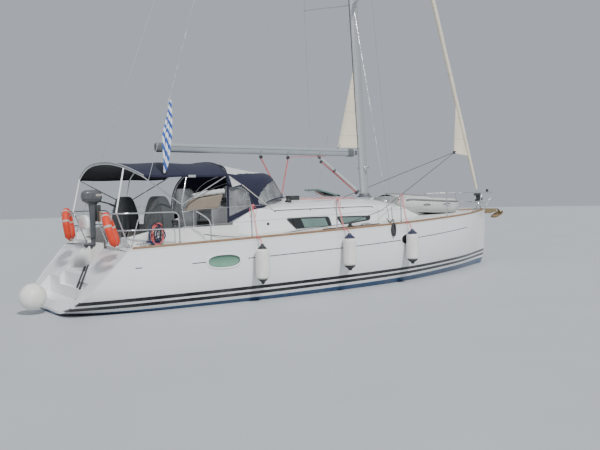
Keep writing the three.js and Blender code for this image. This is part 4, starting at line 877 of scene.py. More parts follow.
def section(rows, s, margin=0.0):
    """Points of hull sections at places s from -1 at the starboard sheer to 1 at the port one: y is the half
    breadth times sin t, and the drop below the sheer is the depth times cos t, each to 2 over the
    fullness."""
    x, breadth, keel, fullness = np.moveaxis(rows, -1, 0)
    breadth = np.maximum(breadth - margin, 0.004)
    top = sheer_z(x)
    bottom = np.minimum(keel + margin, top - 0.02)
    t = np.abs(s) * np.pi / 2
    y = np.sign(s) * breadth * np.sin(t) ** (2 / fullness)
    z = top - (top - bottom) * np.maximum(np.cos(t), 0) ** (2 / fullness)
    return np.stack([x + 0 * y, y, z], -1)


def transom_x(z):
    slope = (TRANSOM_HEAD[0] - TRANSOM_FOOT[0]) / (TRANSOM_HEAD[1] - TRANSOM_FOOT[1])
    return TRANSOM_FOOT[0] - 0.004 + slope * (np.maximum(z, TRANSOM_FOOT[1]) - TRANSOM_FOOT[1])


def hull_grid(margin, steps=12, columns=36):
    """The hull from the transom's plane, found by repeated substitution, to the stem."""
    s = np.linspace(-1, 1, 2 * columns + 1)
    x = np.full(s.shape, TRANSOM_FOOT[0])
    for _ in range(30):
        x = transom_x(section(at_x(HULL_ROWS, x), s, margin)[:, 2])
    last = len(HULL_ROWS) - 1
    dense = np.linspace(0, last, 1201)
    first = np.interp(x, along(HULL_ROWS, dense)[:, 0], dense)
    places = first + (last - first) * np.linspace(0, 1, last * steps + 1)[:, None]
    return section(along(HULL_ROWS, places), s[None], margin)


def shell(outer, inner):
    """A closed wall between two grids of the same size."""
    ends = patch(np.stack([outer[0], inner[0]])) + patch(np.stack([inner[-1], outer[-1]]))
    return patch(np.concatenate([outer, inner[:, ::-1]], axis=1), wrap=True) + ends


def hull_y(x, z):
    """Half breadth of the hull at a length forward and a height, from the section's own formula."""
    _, breadth, keel, fullness = np.moveaxis(at_x(HULL_ROWS, x), -1, 0)
    drop = np.clip((sheer_z(x) - z) / (sheer_z(x) - keel), 0, 1)
    turn = np.sqrt(np.maximum(1 - drop ** fullness, 0))
    return breadth * turn ** (2 / fullness)


def oval(low, high, power=5.0, count=48):
    """A rounded rectangle between two corners, as x and z."""
    middle = (np.array(low) + high) / 2
    half = (np.array(high) - low) / 2
    return middle + outline(half[0], half[1], power, count)


PORTHOLE = ((2.240, 0.690), (2.890, 0.940))


def on_hull(flat, side, out=0.0):
    """Points x, z laid on the hull's side."""
    return np.stack([flat[:, 0], side * (hull_y(flat[:, 0], flat[:, 1]) + out), flat[:, 1]], -1)


def make_hull():
    hull = build("hull_shell", [(shell(hull_grid(0), hull_grid(0.044)), HULL_PAINT)], replaces=["hull"],
                 crease=50)
    flat = oval(*PORTHOLE, power=2.5)
    carve(hull, [prism(flat, side * 1.2, side * 2.2) for _, side in SIDES])
    for name, side in SIDES:
        rim = sweep(outline(0.016, 0.010, 3, 12), on_hull(flat, side, 0.002), closed=True, up=(0, 1, 0))
        gasket = sweep(outline(0.013, 0.008, 3, 8), on_hull(flat, side, -0.012), 0.8,
                       closed=True, up=(0, 1, 0))
        build(f"porthole_rim_{name}", [(rim, WHITE), (gasket, DARK)])
        inner = flat.mean(0) + (flat - flat.mean(0)) * 0.97
        centre = on_hull(np.repeat(np.array([[2.565, 0.815]]), len(inner), axis=0), side, -0.022)
        pane = patch(np.stack([centre, on_hull(inner, side, -0.022), on_hull(inner, side, -0.028),
                               centre - [0, side * 0.006, 0]]), wrap=True)
        build(f"porthole_pane_{name}", [(pane, PORT_GLASS)], replaces=[f"porthole_{name}"])


HULL_LIGHT = ((6.880, 0.835), (7.440, 1.080))


def make_hull_lights():
    """A small dark oval light let into each side forward, with a white rim round it."""
    edge = oval(*HULL_LIGHT, power=2.6)
    for name, side in SIDES:
        rim = sweep(outline(0.016, 0.008, 3, 12), on_hull(edge, side, 0.003), closed=True, up=(0, 1, 0))
        rings = [on_hull(edge.mean(0) + (edge - edge.mean(0)) * size, side, out) for size, out in
                 ((0, 0.004), (0.5, 0.004), (1, 0.004), (1, -0.004), (0, -0.004))]
        build(f"hull_light_{name}", [(patch(np.array(rings), wrap=True), WINDOW), (rim, WHITE)])


COCKPIT = {"x": (0.900, 3.145), "half": 1.390, "foot": 0.480}
CABIN_OPENING = [(3.23, 1.12), (5.00, 1.08), (6.90, 0.96), (8.00, 0.76), (8.80, 0.52)]
ANCHOR_LOCKER = [(10.70, 0.210), (11.30, 0.150)]


def both_sides(half):
    """A closed outline in x and y from the points of its port half."""
    half = np.asarray(half, float)
    return np.vstack([half * [1, -1], half[::-1]])


def slab(points, low, high):
    """An outline in x and y carried from one height to another."""
    points = np.asarray(points, float)
    rings = [np.column_stack([points.mean(0)[0] + (points - points.mean(0))[:, 0] * k,
                              points.mean(0)[1] + (points - points.mean(0))[:, 1] * k,
                              np.full(len(points), z)]) for z,
                              k in ((low, 0), (low, 1), (high, 1), (high, 0))]
    return patch(np.array(rings), wrap=True)


def make_deck():
    last = len(HULL_ROWS) - 1
    table = along(HULL_ROWS, np.linspace(0.95, last, last * 12))
    across = np.linspace(-1, 1, 41)
    x = table[:, :1] + 0 * across
    y = np.maximum(table[:, 1:2], 0.004) * across
    top = np.stack([x, y, deck_z(x, y)], -1)
    deck = build("deck_plate", [(shell(top, top - [0, 0, DECK_THICKNESS]), NON_SKID)], replaces=["deck"],
                 crease=35)
    well = block((COCKPIT["x"][0], -COCKPIT["half"], 0.5), (COCKPIT["x"][1], COCKPIT["half"], 2.5), 0.001)
    walkway = block((-0.5, -COCKPIT["foot"], 0.5), (COCKPIT["x"][0] + 0.01, COCKPIT["foot"], 2.5), 0.001)
    slope = [(-2, -0.5), (transom_x(0.08), 0.08), (transom_x(2.08), 2.08), (-2, 2.08)]
    carve(deck, [well, walkway, slab(both_sides(CABIN_OPENING), 0.5, 2.5),
                 slab(both_sides(ANCHOR_LOCKER), 0.5, 2.5),
                 prism(slope, -2.5, 2.5)])


def rail_path(side, start, stop, inset, up, count=110):
    """A line along the deck's edge, inset from it and raised above the deck."""
    x = np.linspace(start, stop, count)
    y = np.maximum(sheer_y(x) - inset, 0.02)
    return np.stack([x, side * y, deck_z(x, y) + up], -1)


def make_toe_rails():
    for name, side in SIDES:
        rail = sweep(outline(0.019, 0.021, 5, 16), rail_path(side, 0.92, 11.58, 0.021, 0.020), up=(0, 0, 1))
        build(f"teak_rail_{name}", [(rail, TEAK)], replaces=[f"toe_rail_{name}"], crease=50)


# Coachroof

def roof_rows(x):
    return at_x(ROOF_ROWS, x)


def roof_side(x, z):
    """Half breadth of the coachroof's side, straight from its foot 0.9 m up to the roof's edge."""
    _, foot, edge, edge_z, _ = np.moveaxis(roof_rows(x), -1, 0)
    return foot + (edge - foot) * (z - 0.900) / (edge_z - 0.900)


def roof_z(x, y=0.0):
    """The roof's crown, falling with the square of y to its edge."""
    _, _, edge, edge_z, crown = np.moveaxis(roof_rows(x), -1, 0)
    return edge_z + (crown - edge_z) * (1 - np.minimum(1, (y / edge) ** 2))


def roof_grid(start, stop, margin, foot, count=90):
    """Cross-sections of the coachroof: straight sides, a parabola round the edge and a cambered top."""
    x = np.linspace(start, stop, count)[:, None]
    rows = roof_rows(x[:, 0])
    edge = rows[:, 2:3] - margin
    base = rows[:, 1:2] - margin
    edge_z = rows[:, 3:4] - margin
    rise = rows[:, 4:5] - rows[:, 3:4]
    low_z = foot + (edge_z - foot) * np.linspace(0, 1, 8)
    low_y = base + (edge - base) * (low_z - 0.900) / (edge_z - 0.900)
    f = np.linspace(1, 0, 16)[None]
    top_y, top_z = edge * f, edge_z + rise * (1 - f ** 2)
    t = np.linspace(0, 1, 9)[None]
    a_y, a_z = low_y[:, -2:-1] * 0.5 + edge * 0.5, low_z[:, -2:-1] * 0.5 + edge_z * 0.5
    b_y, b_z = top_y[:, 1:2], top_z[:, 1:2]
    bend_y = (1 - t) ** 2 * a_y + 2 * t * (1 - t) * edge + t ** 2 * b_y
    bend_z = (1 - t) ** 2 * a_z + 2 * t * (1 - t) * edge_z + t ** 2 * b_z
    y = np.hstack([low_y[:, :-1], bend_y, top_y[:, 2:]])
    z = np.hstack([low_z[:, :-1], bend_z, top_z[:, 2:]])
    port = np.stack([x + 0 * y, y, z], -1)
    return np.concatenate([port * [1, -1, 1], port[:, -2::-1]], axis=1)


def capped(rings):
    """A closed solid from rings of points, each end drawn in to its middle."""
    ends = [np.repeat(rings[k:k + 1].mean(1, keepdims=True), rings.shape[1], axis=1) for k in (0, -1)]
    return patch(np.concatenate([ends[0], rings, ends[1]]), wrap=True)


DOORWAY = {"half": 0.310, "sill": 1.260, "aft": 3.150, "forward": 3.900}
SALOON_HATCH = {"x": (5.880, 6.500), "half": 0.280}
SIDE_WINDOWS = [
    [(4.64, 1.270), (5.57, 1.290), (5.53, 1.480), (4.42, 1.490)],
    [(5.88, 1.310), (6.71, 1.375), (6.76, 1.450), (5.75, 1.470)],
]


def make_coachroof():
    roof = build("coachroof_moulding", [(capped(roof_grid(3.15, 9.5, 0, 1.15)), WHITE)],
                 replaces=["coachroof"],
                 crease=35)
    hollow = capped(roof_grid(3.175, 9.2, 0.028, 0.9, 60))
    door = block((3.0, -DOORWAY["half"], DOORWAY["sill"]), (DOORWAY["forward"], DOORWAY["half"], 2.5), 0.01)
    (aft, forward), half = SALOON_HATCH["x"], SALOON_HATCH["half"]
    hatch = block((aft + 0.04, -half + 0.04, 1.5), (forward - 0.04, half - 0.04, 2.5), 0.03)
    carve(roof, [hollow, door, hatch])


def window_ring(edge, side, size, out):
    """A window's outline, x and z, shrunk about its middle and laid on the coachroof's side, out metres
    proud."""
    middle = edge.mean(0)
    edge = middle + (edge - middle) * size
    return np.stack([edge[:, 0], side * (roof_side(edge[:, 0], edge[:, 1]) + out), edge[:, 1]], -1)


def make_windows():
    for name, side in SIDES:
        panes = []
        frames = []
        for corners in SIDE_WINDOWS:
            corners = np.array(corners)
            edge = bent(np.vstack([corners[-1:], corners, corners[:1]]), 0.05)[1:-1]
            rings = [window_ring(edge, side, size, out) for size, out in
                     ((0, 0.004), (0.3, 0.004), (0.65, 0.004), (1, 0.004), (1, -0.004), (0, -0.004))]
            panes.append(patch(np.array(rings), wrap=True))
            frames.append(sweep(outline(0.017, 0.006, 3, 10), window_ring(edge, side, 1, 0.004), closed=True,
                                up=(0, 1, 0)))
        build(f"side_panes_{name}", [(total(panes), WINDOW), (total(frames), DARK)],
              replaces=[f"side_windows_{name}"])


# Spars and sails

def make_mast():
    """The oval extrusion, tapered at its head, with aerofoil spreaders, a collar, a crane and its
    fittings."""
    heights = np.concatenate([np.linspace(1.874, 15.5, 24), np.linspace(15.7, 16.9, 8)])
    path = np.stack([mast_x(heights), 0 * heights, heights], -1)
    taper = 1 - 0.22 * np.clip((heights - 15.5) / 1.4, 0, 1)
    tube_ = sweep(outline(0.118, 0.068, 2.3, 40), path, taper, up=(0, 1, 0))
    # Painted shade: a thin dark strip on the mast's aft face stands for the shadowed opening of the sail's
    # slot.
    slot_shade = sweep(outline(0.004, 0.011, 4, 8), straight((mast_x(3.0) - 0.1165, 0, 3.0),
                                                        (mast_x(15.4) - 0.1165, 0, 15.4), 20), up=(0, 1, 0))
    collar = turned([(0, 1.862), (0.175, 1.862), (0.170, 1.885), (0.135, 1.905), (0.120, 1.950), (0, 1.950)],
                    (mast_x(1.88), 0, 0), 40)
    arms = []
    for z, half, sweep_aft in ((6.35, 1.180, 0.520), (11.30, 0.900, 0.400)):
        for _, side in SIDES:
            run = straight((mast_x(z), side * 0.03, z), (mast_x(z) - sweep_aft, side * half, z + 0.060), 8)
            arms.append(sweep(outline(0.045, 0.016, 2, 20), run, np.linspace(1.0, 0.72, 8), up=(0, 0, 1)))
            arms.append(turned([(0, -0.03), (0.022, -0.02), (0.026, 0), (0.022, 0.02), (0, 0.03)],
                               tuple(run[-1] + [0, side * 0.008, 0]), 16, "X"))
            arms.append(block(run[0] + [-0.07, -0.015 + side * 0.045, -0.05],
                              run[0] + [0.07, 0.015 + side * 0.045, 0.05], 0.012))
    top = mast_x(MASTHEAD)
    crane = block((top - 0.170, -0.024, 16.860), (top + 0.130, 0.024, 16.930), 0.01)
    sheaves = total([turned([(0, -0.016), (0.04, -0.016), (0.036, 0), (0.04, 0.016), (0, 0.016)],
                            (top + dx, 0, 16.885), 20, "Y") for dx in (-0.15, 0.11)])
    lights = block((mast_x(8.6) + 0.105, -0.03, 8.56), (mast_x(8.6) + 0.165, 0.03, 8.66), 0.02)
    winches = total(winch_shape(mast_x(2.55) + 0.02, s * 0.075, 2.55, 0.045, "Y", s) for s in (-1, 1))
    build("mast_spar", [(tube_ + crane + total(arms), SPAR), (slot_shade, DARK), (collar, CASTING),
                        (sheaves + lights, DARK), (winches, STEEL)], replaces=["mast"],
                        crease=45)


def winch_shape(x, y, z, radius, axis="Z", sign=1):
    """A drum with a flared base, a waist and a ribbed self-tailing head."""
    r = radius
    profile = [(0, 0), (1.15 * r, 0), (1.15 * r, 0.35 * r), (0.82 * r, 0.6 * r), (0.70 * r, 0.9 * r),
               (0.74 * r, 1.45 * r), (1.0 * r, 1.65 * r), (1.0 * r, 1.75 * r), (0.80 * r, 1.80 * r),
               (0.80 * r, 1.88 * r), (0.98 * r, 1.92 * r), (0.95 * r, 2.05 * r), (0.3 * r, 2.12 * r),
               (0, 2.12 * r)]
    profile = np.array(profile) * ([1, sign] if axis == "Y" else [1, 1])
    return turned(profile, (x, y, z), 32, axis)


GOOSENECK_X = mast_x(BOOM_Z) - 0.118 - 0.060


def boom_z(x):
    """The height of the boom's axis along it."""
    return BOOM_Z + (BOOM_END[1] - BOOM_Z) * (GOOSENECK_X - x) / (GOOSENECK_X - BOOM_END[0])


def make_boom():
    """A rounded extrusion with end castings, the sheet blocks' bails, and a dark line of painted shade
    along the groove on each side.
    """
    start, stop = GOOSENECK_X - 0.06, BOOM_END[0]
    x = np.linspace(start - 0.02, stop + 0.06, 40)
    path = np.stack([x, 0 * x, boom_z(x)], -1)
    spar = sweep(outline(0.054, 0.090, 2.8, 36), path, up=(0, 0, 1))
    # Painted shade: a thin dark bar along each side stands for the shadow in the boom's groove.
    groove_shade = total(tube(path[1:-1] + [0, s * 0.0535, 0.020], 0.0035, 6) for s in (-1, 1))
    ends = sweep(outline(0.057, 0.093, 3, 32),
                 straight((stop, 0, boom_z(stop)), (stop + 0.16, 0, boom_z(stop)), 6),
                 [0.85, 1, 1, 1, 1, 1], up=(0, 0, 1))
    knuckle = sweep(outline(0.058, 0.095, 3, 32),
                    straight((start - 0.22, 0, BOOM_Z), (start + 0.01, 0, BOOM_Z), 6), [1, 1, 1, 1, 0.9, 0.6],
                    up=(0, 0, 1))
    tongue = block((start - 0.01, -0.020, BOOM_Z - 0.028), (GOOSENECK_X - 0.012, 0.020, BOOM_Z + 0.028),
                   0.006)
    eye = turned([(0.0135, -0.05), (0.022, -0.05), (0.022, 0.05), (0.0135, 0.05), (0.0135, -0.05)],
                 (GOOSENECK_X, 0, BOOM_Z), 20)
    bails = []
    for bail in (4.55, 5.26, 6.12):
        z = boom_z(bail)
        bails.append(tube(curve([(bail, -0.055, z - 0.03), (bail, -0.05, z - 0.085), (bail, 0, z - 0.115),
                                 (bail, 0.05, z - 0.085), (bail, 0.055, z - 0.03)]), 0.006, 8))
        bails.append(block((bail - 0.03, -0.058, z - 0.045), (bail + 0.03, -0.050, z - 0.010), 0.003))
        bails.append(block((bail - 0.03, 0.050, z - 0.045), (bail + 0.03, 0.058, z - 0.010), 0.003))
    build("boom_spar", [(spar, BOOM_GREY), (groove_shade, CASTING), (ends + knuckle, DARK_CAST),
                        (tongue + eye, CASTING),
                        (total(bails), STEEL)], body="boom", replaces=["boom"], crease=45)


VANG_LOW = (GOOSENECK_X + (BOOM_Z - 1.99) * MAST_RAKE, 0, 1.99)
VANG_HIGH = (6.12, 0, BOOM_Z - 0.095)


def make_vang():
    """A sprung strut of two tubes, with its purchase below it."""
    low, high = np.array(VANG_LOW), np.array(VANG_HIGH)

    def at(share):
        return low + (high - low) * share

    def sheave(share):
        half = [(0, -0.014), (0.034, -0.014), (0.028, 0), (0.034, 0.014), (0, 0.014)]
        return turned(half, tuple(at(share) - [0, 0, 0.075]), 16, "Y")

    strut = tube(straight(at(0.02), at(0.62), 4), 0.034, 24) + tube(straight(at(0.60), at(0.985), 4), 0.028,
                                                                    24)
    collars = total(tube(straight(at(a), at(b), 3), r, 20) for a, b, r in
                    ((0.0, 0.055, 0.038), (0.60, 0.635, 0.038), (0.955, 1.0, 0.034)))
    falls = total(tube(curve([at(0.08) - [0, 0, 0.07] + [0, y, 0], at(0.5) - [0, 0, 0.062] + [0, y, 0],
                              at(0.93) - [0, 0, 0.07] + [0, y, 0]], 6), 0.005,
                              6) for y in (-0.016, -0.005, 0.006, 0.017))
    build("vang_strut", [(strut, VANG_GREY), (collars, CASTING), (sheave(0.06) + sheave(0.94), DARK),
                         (falls, RED_ROPE)], body="boom", replaces=["vang"], crease=45)


def luff_x(z):
    return mast_x(z) - 0.118 - 0.014


def sail_corner(a, b, c, swell, rows=16, columns=12):
    """A three-cornered piece of sail: straight lines from a towards b and c, bowed sideways by a half
    sine."""
    u = np.linspace(0, 1, rows)[:, None, None]
    v = np.linspace(0, 1, columns)[None, :, None]
    a, b, c = (np.array(p, float) for p in (a, b, c))
    far = b + (c - b) * v
    points = a + (far - a) * u
    points[..., 1] += (swell * np.sin(np.pi * u) * np.sin(np.pi * v))[..., 0]
    return points


def make_mainsail():
    """The corner of the rolled mainsail outside the mast, with its clew ring and outhaul."""
    clew = (6.690, 0, 3.020)
    cloth = sail_corner(clew, (luff_x(4.80), 0, 4.80), (luff_x(3.01), 0, 3.03), 0.04)
    ring = tube([(clew[0] + 0.06 + 0.022 * math.cos(a), 0, clew[2] + 0.045 + 0.022 * math.sin(a))
                 for a in np.linspace(0, 2 * np.pi, 20, endpoint=False)], 0.005, 8, closed=True)
    outhaul = tube(curve([(clew[0] + 0.05, 0, clew[2] + 0.03), (clew[0] - 0.01, 0, clew[2] - 0.01),
                          (clew[0] - 0.10, 0, boom_z(clew[0]) + 0.085)]), 0.007, 8)
    sail = build("mainsail_corner", [(thick(cloth, 0.008), SAILCLOTH)], body="boom",
                 replaces=["mainsail_clew"])
    build("mainsail_outhaul", [(ring, STEEL), (outhaul, BLACK_ROPE)], body="boom")


STAY = {"foot": (11.600, 1.480), "head": (mast_x(16.2) + 0.135, 16.200)}


def stay_at(z):
    (x0, z0), (x1, z1) = STAY["foot"], STAY["head"]
    return np.array([x0 + (x1 - x0) * (z - z0) / (z1 - z0), 0, z])


def make_genoa():
    """The genoa rolled on its foil: a thin roll swollen where more turns lie over it, ridged by the
    cloth's edge
    winding up it, with its corner left flying."""
    z = np.linspace(1.99, 15.7, 180)
    swell = 0.030 + 0.020 * np.clip((z - 2.0) / 1.2, 0, 1) * (1 - 0.35 * np.clip((z - 9) / 7, 0, 1))
    path = np.array([stay_at(v) for v in z])
    turn = np.linspace(0, 2 * np.pi, 20, endpoint=False)[None]
    wind = (turn - z[:, None] * 5.2) % (2 * np.pi)
    radius = swell[:, None] * (1 + 0.16 * (wind / (2 * np.pi)))
    rake = math.atan2(STAY["foot"][0] - STAY["head"][0], STAY["head"][1] - STAY["foot"][1])
    rings = path[:, None] + np.stack([radius * np.cos(turn), radius * np.sin(turn),
                                      radius * np.cos(turn) * math.tan(rake)], -1)
    roll = capped(rings)
    clew = (10.58, 0, 2.94)
    cloth = sail_corner(clew, stay_at(4.25) - [0.03, 0, 0], stay_at(2.88) - [0.03, 0, 0], 0.03)
    ring = tube([(clew[0] + 0.06 + 0.024 * math.cos(a), 0, clew[2] + 0.03 + 0.024 * math.sin(a))
                 for a in np.linspace(0, 2 * np.pi, 20, endpoint=False)], 0.006, 8, closed=True)
    knot = total(tube([(clew[0] + 0.01 + 0.03 * math.cos(a + k), 0.02 * math.sin(2 * a), clew[2] + 0.02 +
                        0.03 * math.sin(a + k)) for a in np.linspace(0, 2 * np.pi, 16, endpoint=False)],
                      0.011, 8, closed=True) for k in (0.0, 1.3))
    foil = tube(straight(stay_at(15.6), (STAY["head"][0], 0, STAY["head"][1]), 3), 0.006, 8)
    drum = total(tube(straight(stay_at(a), stay_at(b), 3), r, 32) for a, b, r in
                 ((1.69, 1.715, 0.105), (1.845, 1.870, 0.108), (1.71, 1.85, 0.062)))
    neck = tube(straight(stay_at(1.475), stay_at(2.02), 4), 0.022, 16)
    swivel = tube(straight(stay_at(15.55), stay_at(15.75), 4), 0.034, 16)
    build("genoa_roll", [(roll, SAILCLOTH), (drum, DARK), (neck + foil, STEEL), (swivel, DARK), (ring, STEEL),
                         (knot, BLACK_ROPE)], replaces=["furled_genoa"], crease=50)
    flying = build("genoa_corner", [(thick(cloth, 0.008), SAILCLOTH)])


# Canopies

HOOPS = [(1.300, 1.010, 1.055), (2.120, 2.060, 2.120), (2.930, 3.100, 2.930)]  # x to starboard, crown, port
BIMINI = {"side": 1.300, "edge": 2.370, "crown": 2.650, "hinge": (2.005, 1.310, 1.850),
          "post": (2.050, 1.335)}


def hoop(starboard_x, crown_x, port_x, f, drop=0.0):
    """Points across a hoop, f from -1 to 1: it falls and moves towards its side by |f| to the power 2.6."""
    fall = np.abs(f) ** 2.6
    side_x = np.where(f < 0, starboard_x, port_x)
    x = crown_x + (side_x - crown_x) * fall
    return xyz(x, BIMINI["side"] * f, BIMINI["crown"] - (BIMINI["crown"] - BIMINI["edge"]) * fall - drop)


def bimini_grid(rows=25, columns=49):
    """The canopy between its hoops, sagging between them by a half sine."""
    f = np.linspace(-1, 1, columns)[None]
    place = np.linspace(0, 2, rows)[:, None]
    table = along(HOOPS, place[:, 0])
    points = hoop(table[:, :1], table[:, 1:2], table[:, 2:], f)
    points[..., 2] -= 0.022 * np.sin(np.pi * place) ** 2 * (1 - 0.5 * f ** 2)
    return points


def make_bimini():
    points = bimini_grid()
    upper, lower, rim = skins(points, 0.009)
    edges = []
    for row in (points[0], points[-1], points[:, 0], points[:, -1]):
        edges.append(sweep(outline(0.022, 0.009, 3, 10), row, up=None))
    seams = total(sweep(outline(0.012, 0.0035, 3, 8), points[k] + [0, 0, 0.005], up=(0, 0, 1)) for k in (12,))
    patch_ = block((0, -0.004, 0), (0.15, 0.004, 0.045), 0.003).moved(2.16, -1.307, 2.335)
    # The underside takes the near-black copy of the canvas as painted shade.
    cover = build("bimini_cover", [(upper, NAVY), (lower, NAVY_UNDERSIDE_SHADE), (rim, BINDING)],
                  replaces=["bimini_canopy"],
                  crease=60)
    trim = build("bimini_binding", [(total(edges[:1]), BINDING), (total(edges[1:]), NAVY), (seams, NAVY),
                                    (patch_, BINDING)])
    size = lengths(points[:, 24])[-1], lengths(points[12])[-1]
    make_hoops()


def make_hoops():
    """The three hoops that fold about a hinge on a post each side, and the pale struts from the pushpits."""
    hinge, (post_x, post_y) = np.array(BIMINI["hinge"]), BIMINI["post"]
    parts = [tube(np.vstack([hinge * [1, -1, 1], hoop(*row, np.linspace(-1, 1, 49), 0.024), hinge]), 0.0125,
                  14)
             for row in HOOPS]
    struts = [tube(straight(low, high, 4), 0.0145, 14) for low, high in
              (((0.700, -1.480, 1.735), (1.060, -0.980, 2.510)),
               ((0.672, 0.611, 1.735), (1.060, 1.285, 2.400)))]
    for _, side in SIDES:
        at = hinge * [1, side, 1]
        parts += [rail([(post_x, side * post_y, 1.424), at]), foot(post_x, side * post_y, 1.422)]
        parts.append(turned([(0, -0.020), (0.026, -0.020), (0.028, 0), (0.026, 0.020), (0, 0.020)],
                            tuple(at), 20, "Y"))
    build("bimini_hoops", [(total(parts), STEEL), (total(struts), WHITE)], replaces=["bimini_frame"])


def skins(points, thickness):
    """The upper skin, the lower skin and the rim of a closed sheet about a grid of points."""
    normal = np.cross(np.gradient(points, axis=0), np.gradient(points, axis=1))
    normal /= np.maximum(np.linalg.norm(normal, axis=2, keepdims=True), 1e-12)
    normal *= np.where(normal[..., 2:].mean() < 0, -1, 1)
    upper, lower = points + normal * thickness / 2, points - normal * thickness / 2
    rim = (patch(np.stack([upper[0], lower[0]])) + patch(np.stack([upper[-1], lower[-1]])) +
           patch(np.stack([upper[:, 0], lower[:, 0]])) + patch(np.stack([upper[:, -1], lower[:, -1]])))
    return patch(upper), patch(lower), rim


HOOD_ROWS = np.array([  # x, y, z at the foot, x and z at the crown
    [3.020, 1.215, 1.470, 3.330, 2.610],
    [3.480, 1.130, 1.640, 4.040, 2.485],
    [3.640, 1.085, 1.685, 4.600, 2.385],
    [4.010, 1.000, 1.748, 4.930, 1.925],
])


HOOD_TURNS = np.sin(np.pi / 2 * np.linspace(-1, 1, 91))  # closer together towards the hood's feet
HOOD_PLACES = np.linspace(0, 3, 61)


def hood_grid(places=HOOD_PLACES, turns=HOOD_TURNS):
    """The spray hood from hoop to hoop: over a quarter turn each side y is sin^0.8, the rise is cos^0.55,
    and the
    sides trail the crown by cos^1.9."""
    table = along(HOOD_ROWS, places)[:, :, None]
    f = np.asarray(turns)[None]
    turn = np.pi / 2 * f
    fall = np.maximum(np.cos(turn), 0)
    y = table[:, 1] * np.sign(f) * np.abs(np.sin(turn)) ** 0.8
    return xyz(table[:, 0] + (table[:, 3] - table[:, 0]) * fall ** 1.9, y,
               table[:, 2] + (table[:, 4] - table[:, 2]) * fall ** 0.55)


def make_sprayhood():
    """Navy panels round clear windows in its front and sides, over two hoops, with a painted highlight along
    its crown: a pale band of white cloth on the top skin only, standing for the canvas's sheen."""
    points = hood_grid()
    place = ((HOOD_PLACES[:-1] + HOOD_PLACES[1:]) / 2)[:, None]
    across = np.abs((HOOD_TURNS[:-1] + HOOD_TURNS[1:]) / 2)[None]
    side_window = (place > 0.10) & (across > 0.74 + 0.186 * np.maximum(place - 0.6, 0)) & (across < 0.990)
    front_window = (place > 2.18 + 0.54 * np.maximum(across - 0.49, 0)) & (place < 2.92) & (across < 0.96)
    front_window &= np.abs(across - 0.32) > 0.014
    clear = side_window | front_window
    upper, lower, rim = skins(points, 0.010)
    pick = lambda shape, mask: Shape(shape.vertices, shape.faces[mask.ravel()], shape.uvs[mask.ravel()])
    panes = pick(upper, clear) + pick(lower, clear)
    hoops = total(tube(hood_grid([k])[0] * [1, 0.978, 1] - [0, 0, 0.018], 0.0125,
                       10) for k in (0.02, 1.0, 2.0))
    edge = sweep(outline(0.020, 0.008, 3, 10), points[0])
    # Painted highlight: along the crown the top skin is laid in white cloth for the canvas's sheen; the
    # underside there stays navy.
    band = (across < 0.50 - 0.25 * np.maximum(place - 0.38, 0)) & (place < 2.15)
    cloth = pick(upper, ~clear & ~band) + pick(lower, ~clear)
    hood = build("sprayhood_canvas", [(cloth, NAVY), (pick(upper, band), WHITE_CLOTH), (panes, CLEAR),
                                      (rim, NAVY)],
                 replaces=["sprayhood"], crease=60)
    build("sprayhood_hoops", [(hoops, STEEL)])
    trim = build("sprayhood_binding", [(edge, NAVY)])
    flap_points = sail_corner((3.040, -1.255, 2.365), (3.350, -1.185, 2.195), (3.110, -1.245, 2.150), 0.010)
    flap = build("sprayhood_flap", [(thick(flap_points, 0.006), WHITE_CLOTH)])
    straps = [sweep(outline(0.010, 0.002, 3, 8),
                    straight((3.360, side * 1.190, 2.190), (4.145, side * 1.095, 1.665), 12))
              for _, side in SIDES]
    build("sprayhood_straps", [(total(straps), WEBBING)])


# Fenders, dinghy and what hangs outside

FENDERS = [(3.25, 0.35, "black"), (5.27, 0.44, "navy"), (7.08, 0.43, "navy")]  # x, foot, top


def make_fenders():
    """Cylinders with coned ends, each hung outside the starboard side from the guard wire by a knotted
    line."""
    body = [(0.066, 0.090), (0.100, 0.108), (0.122, 0.135), (0.130, 0.175), (0.130, 0.575), (0.122, 0.615),
            (0.100, 0.642), (0.066, 0.660)]
    fat = along(body, np.linspace(0, 7, 29))
    cone = along([(0.089, 0.0), (0.081, 0.012), (0.041, 0.050), (0.030, 0.072), (0.024, 0.088),
                  (0.008, 0.092)],
                 np.linspace(0, 5, 16))
    cone = np.vstack([[(0, -0.004)], cone, [(0, 0.092)]])
    for k, (x, low, top) in enumerate(FENDERS):
        y = -float(sheer_y(np.array(x))) - 0.148
        barrel = turned(np.vstack([[(0, 0.088)], fat, [(0, 0.662)]]), (x, y, low), 40)
        flare = cone * [1.0 if top == "black" else 1.28, 1.0]
        head, tail = turned(flare, (x, y, low + 0.655), 28), turned(flare * [1, -1], (x, y, low + 0.095), 28)
        build(f"fender_hung_{k + 1}", [(barrel, VINYL), (head, NAVY_VINYL if top == "navy" else DARK),
                                       (tail, DARK)],
              replaces=[f"fender_starboard_{k + 1}"], crease=50)
        lanyard(f"fender_line_{k + 1}", (x, y, low + 0.745), -1)


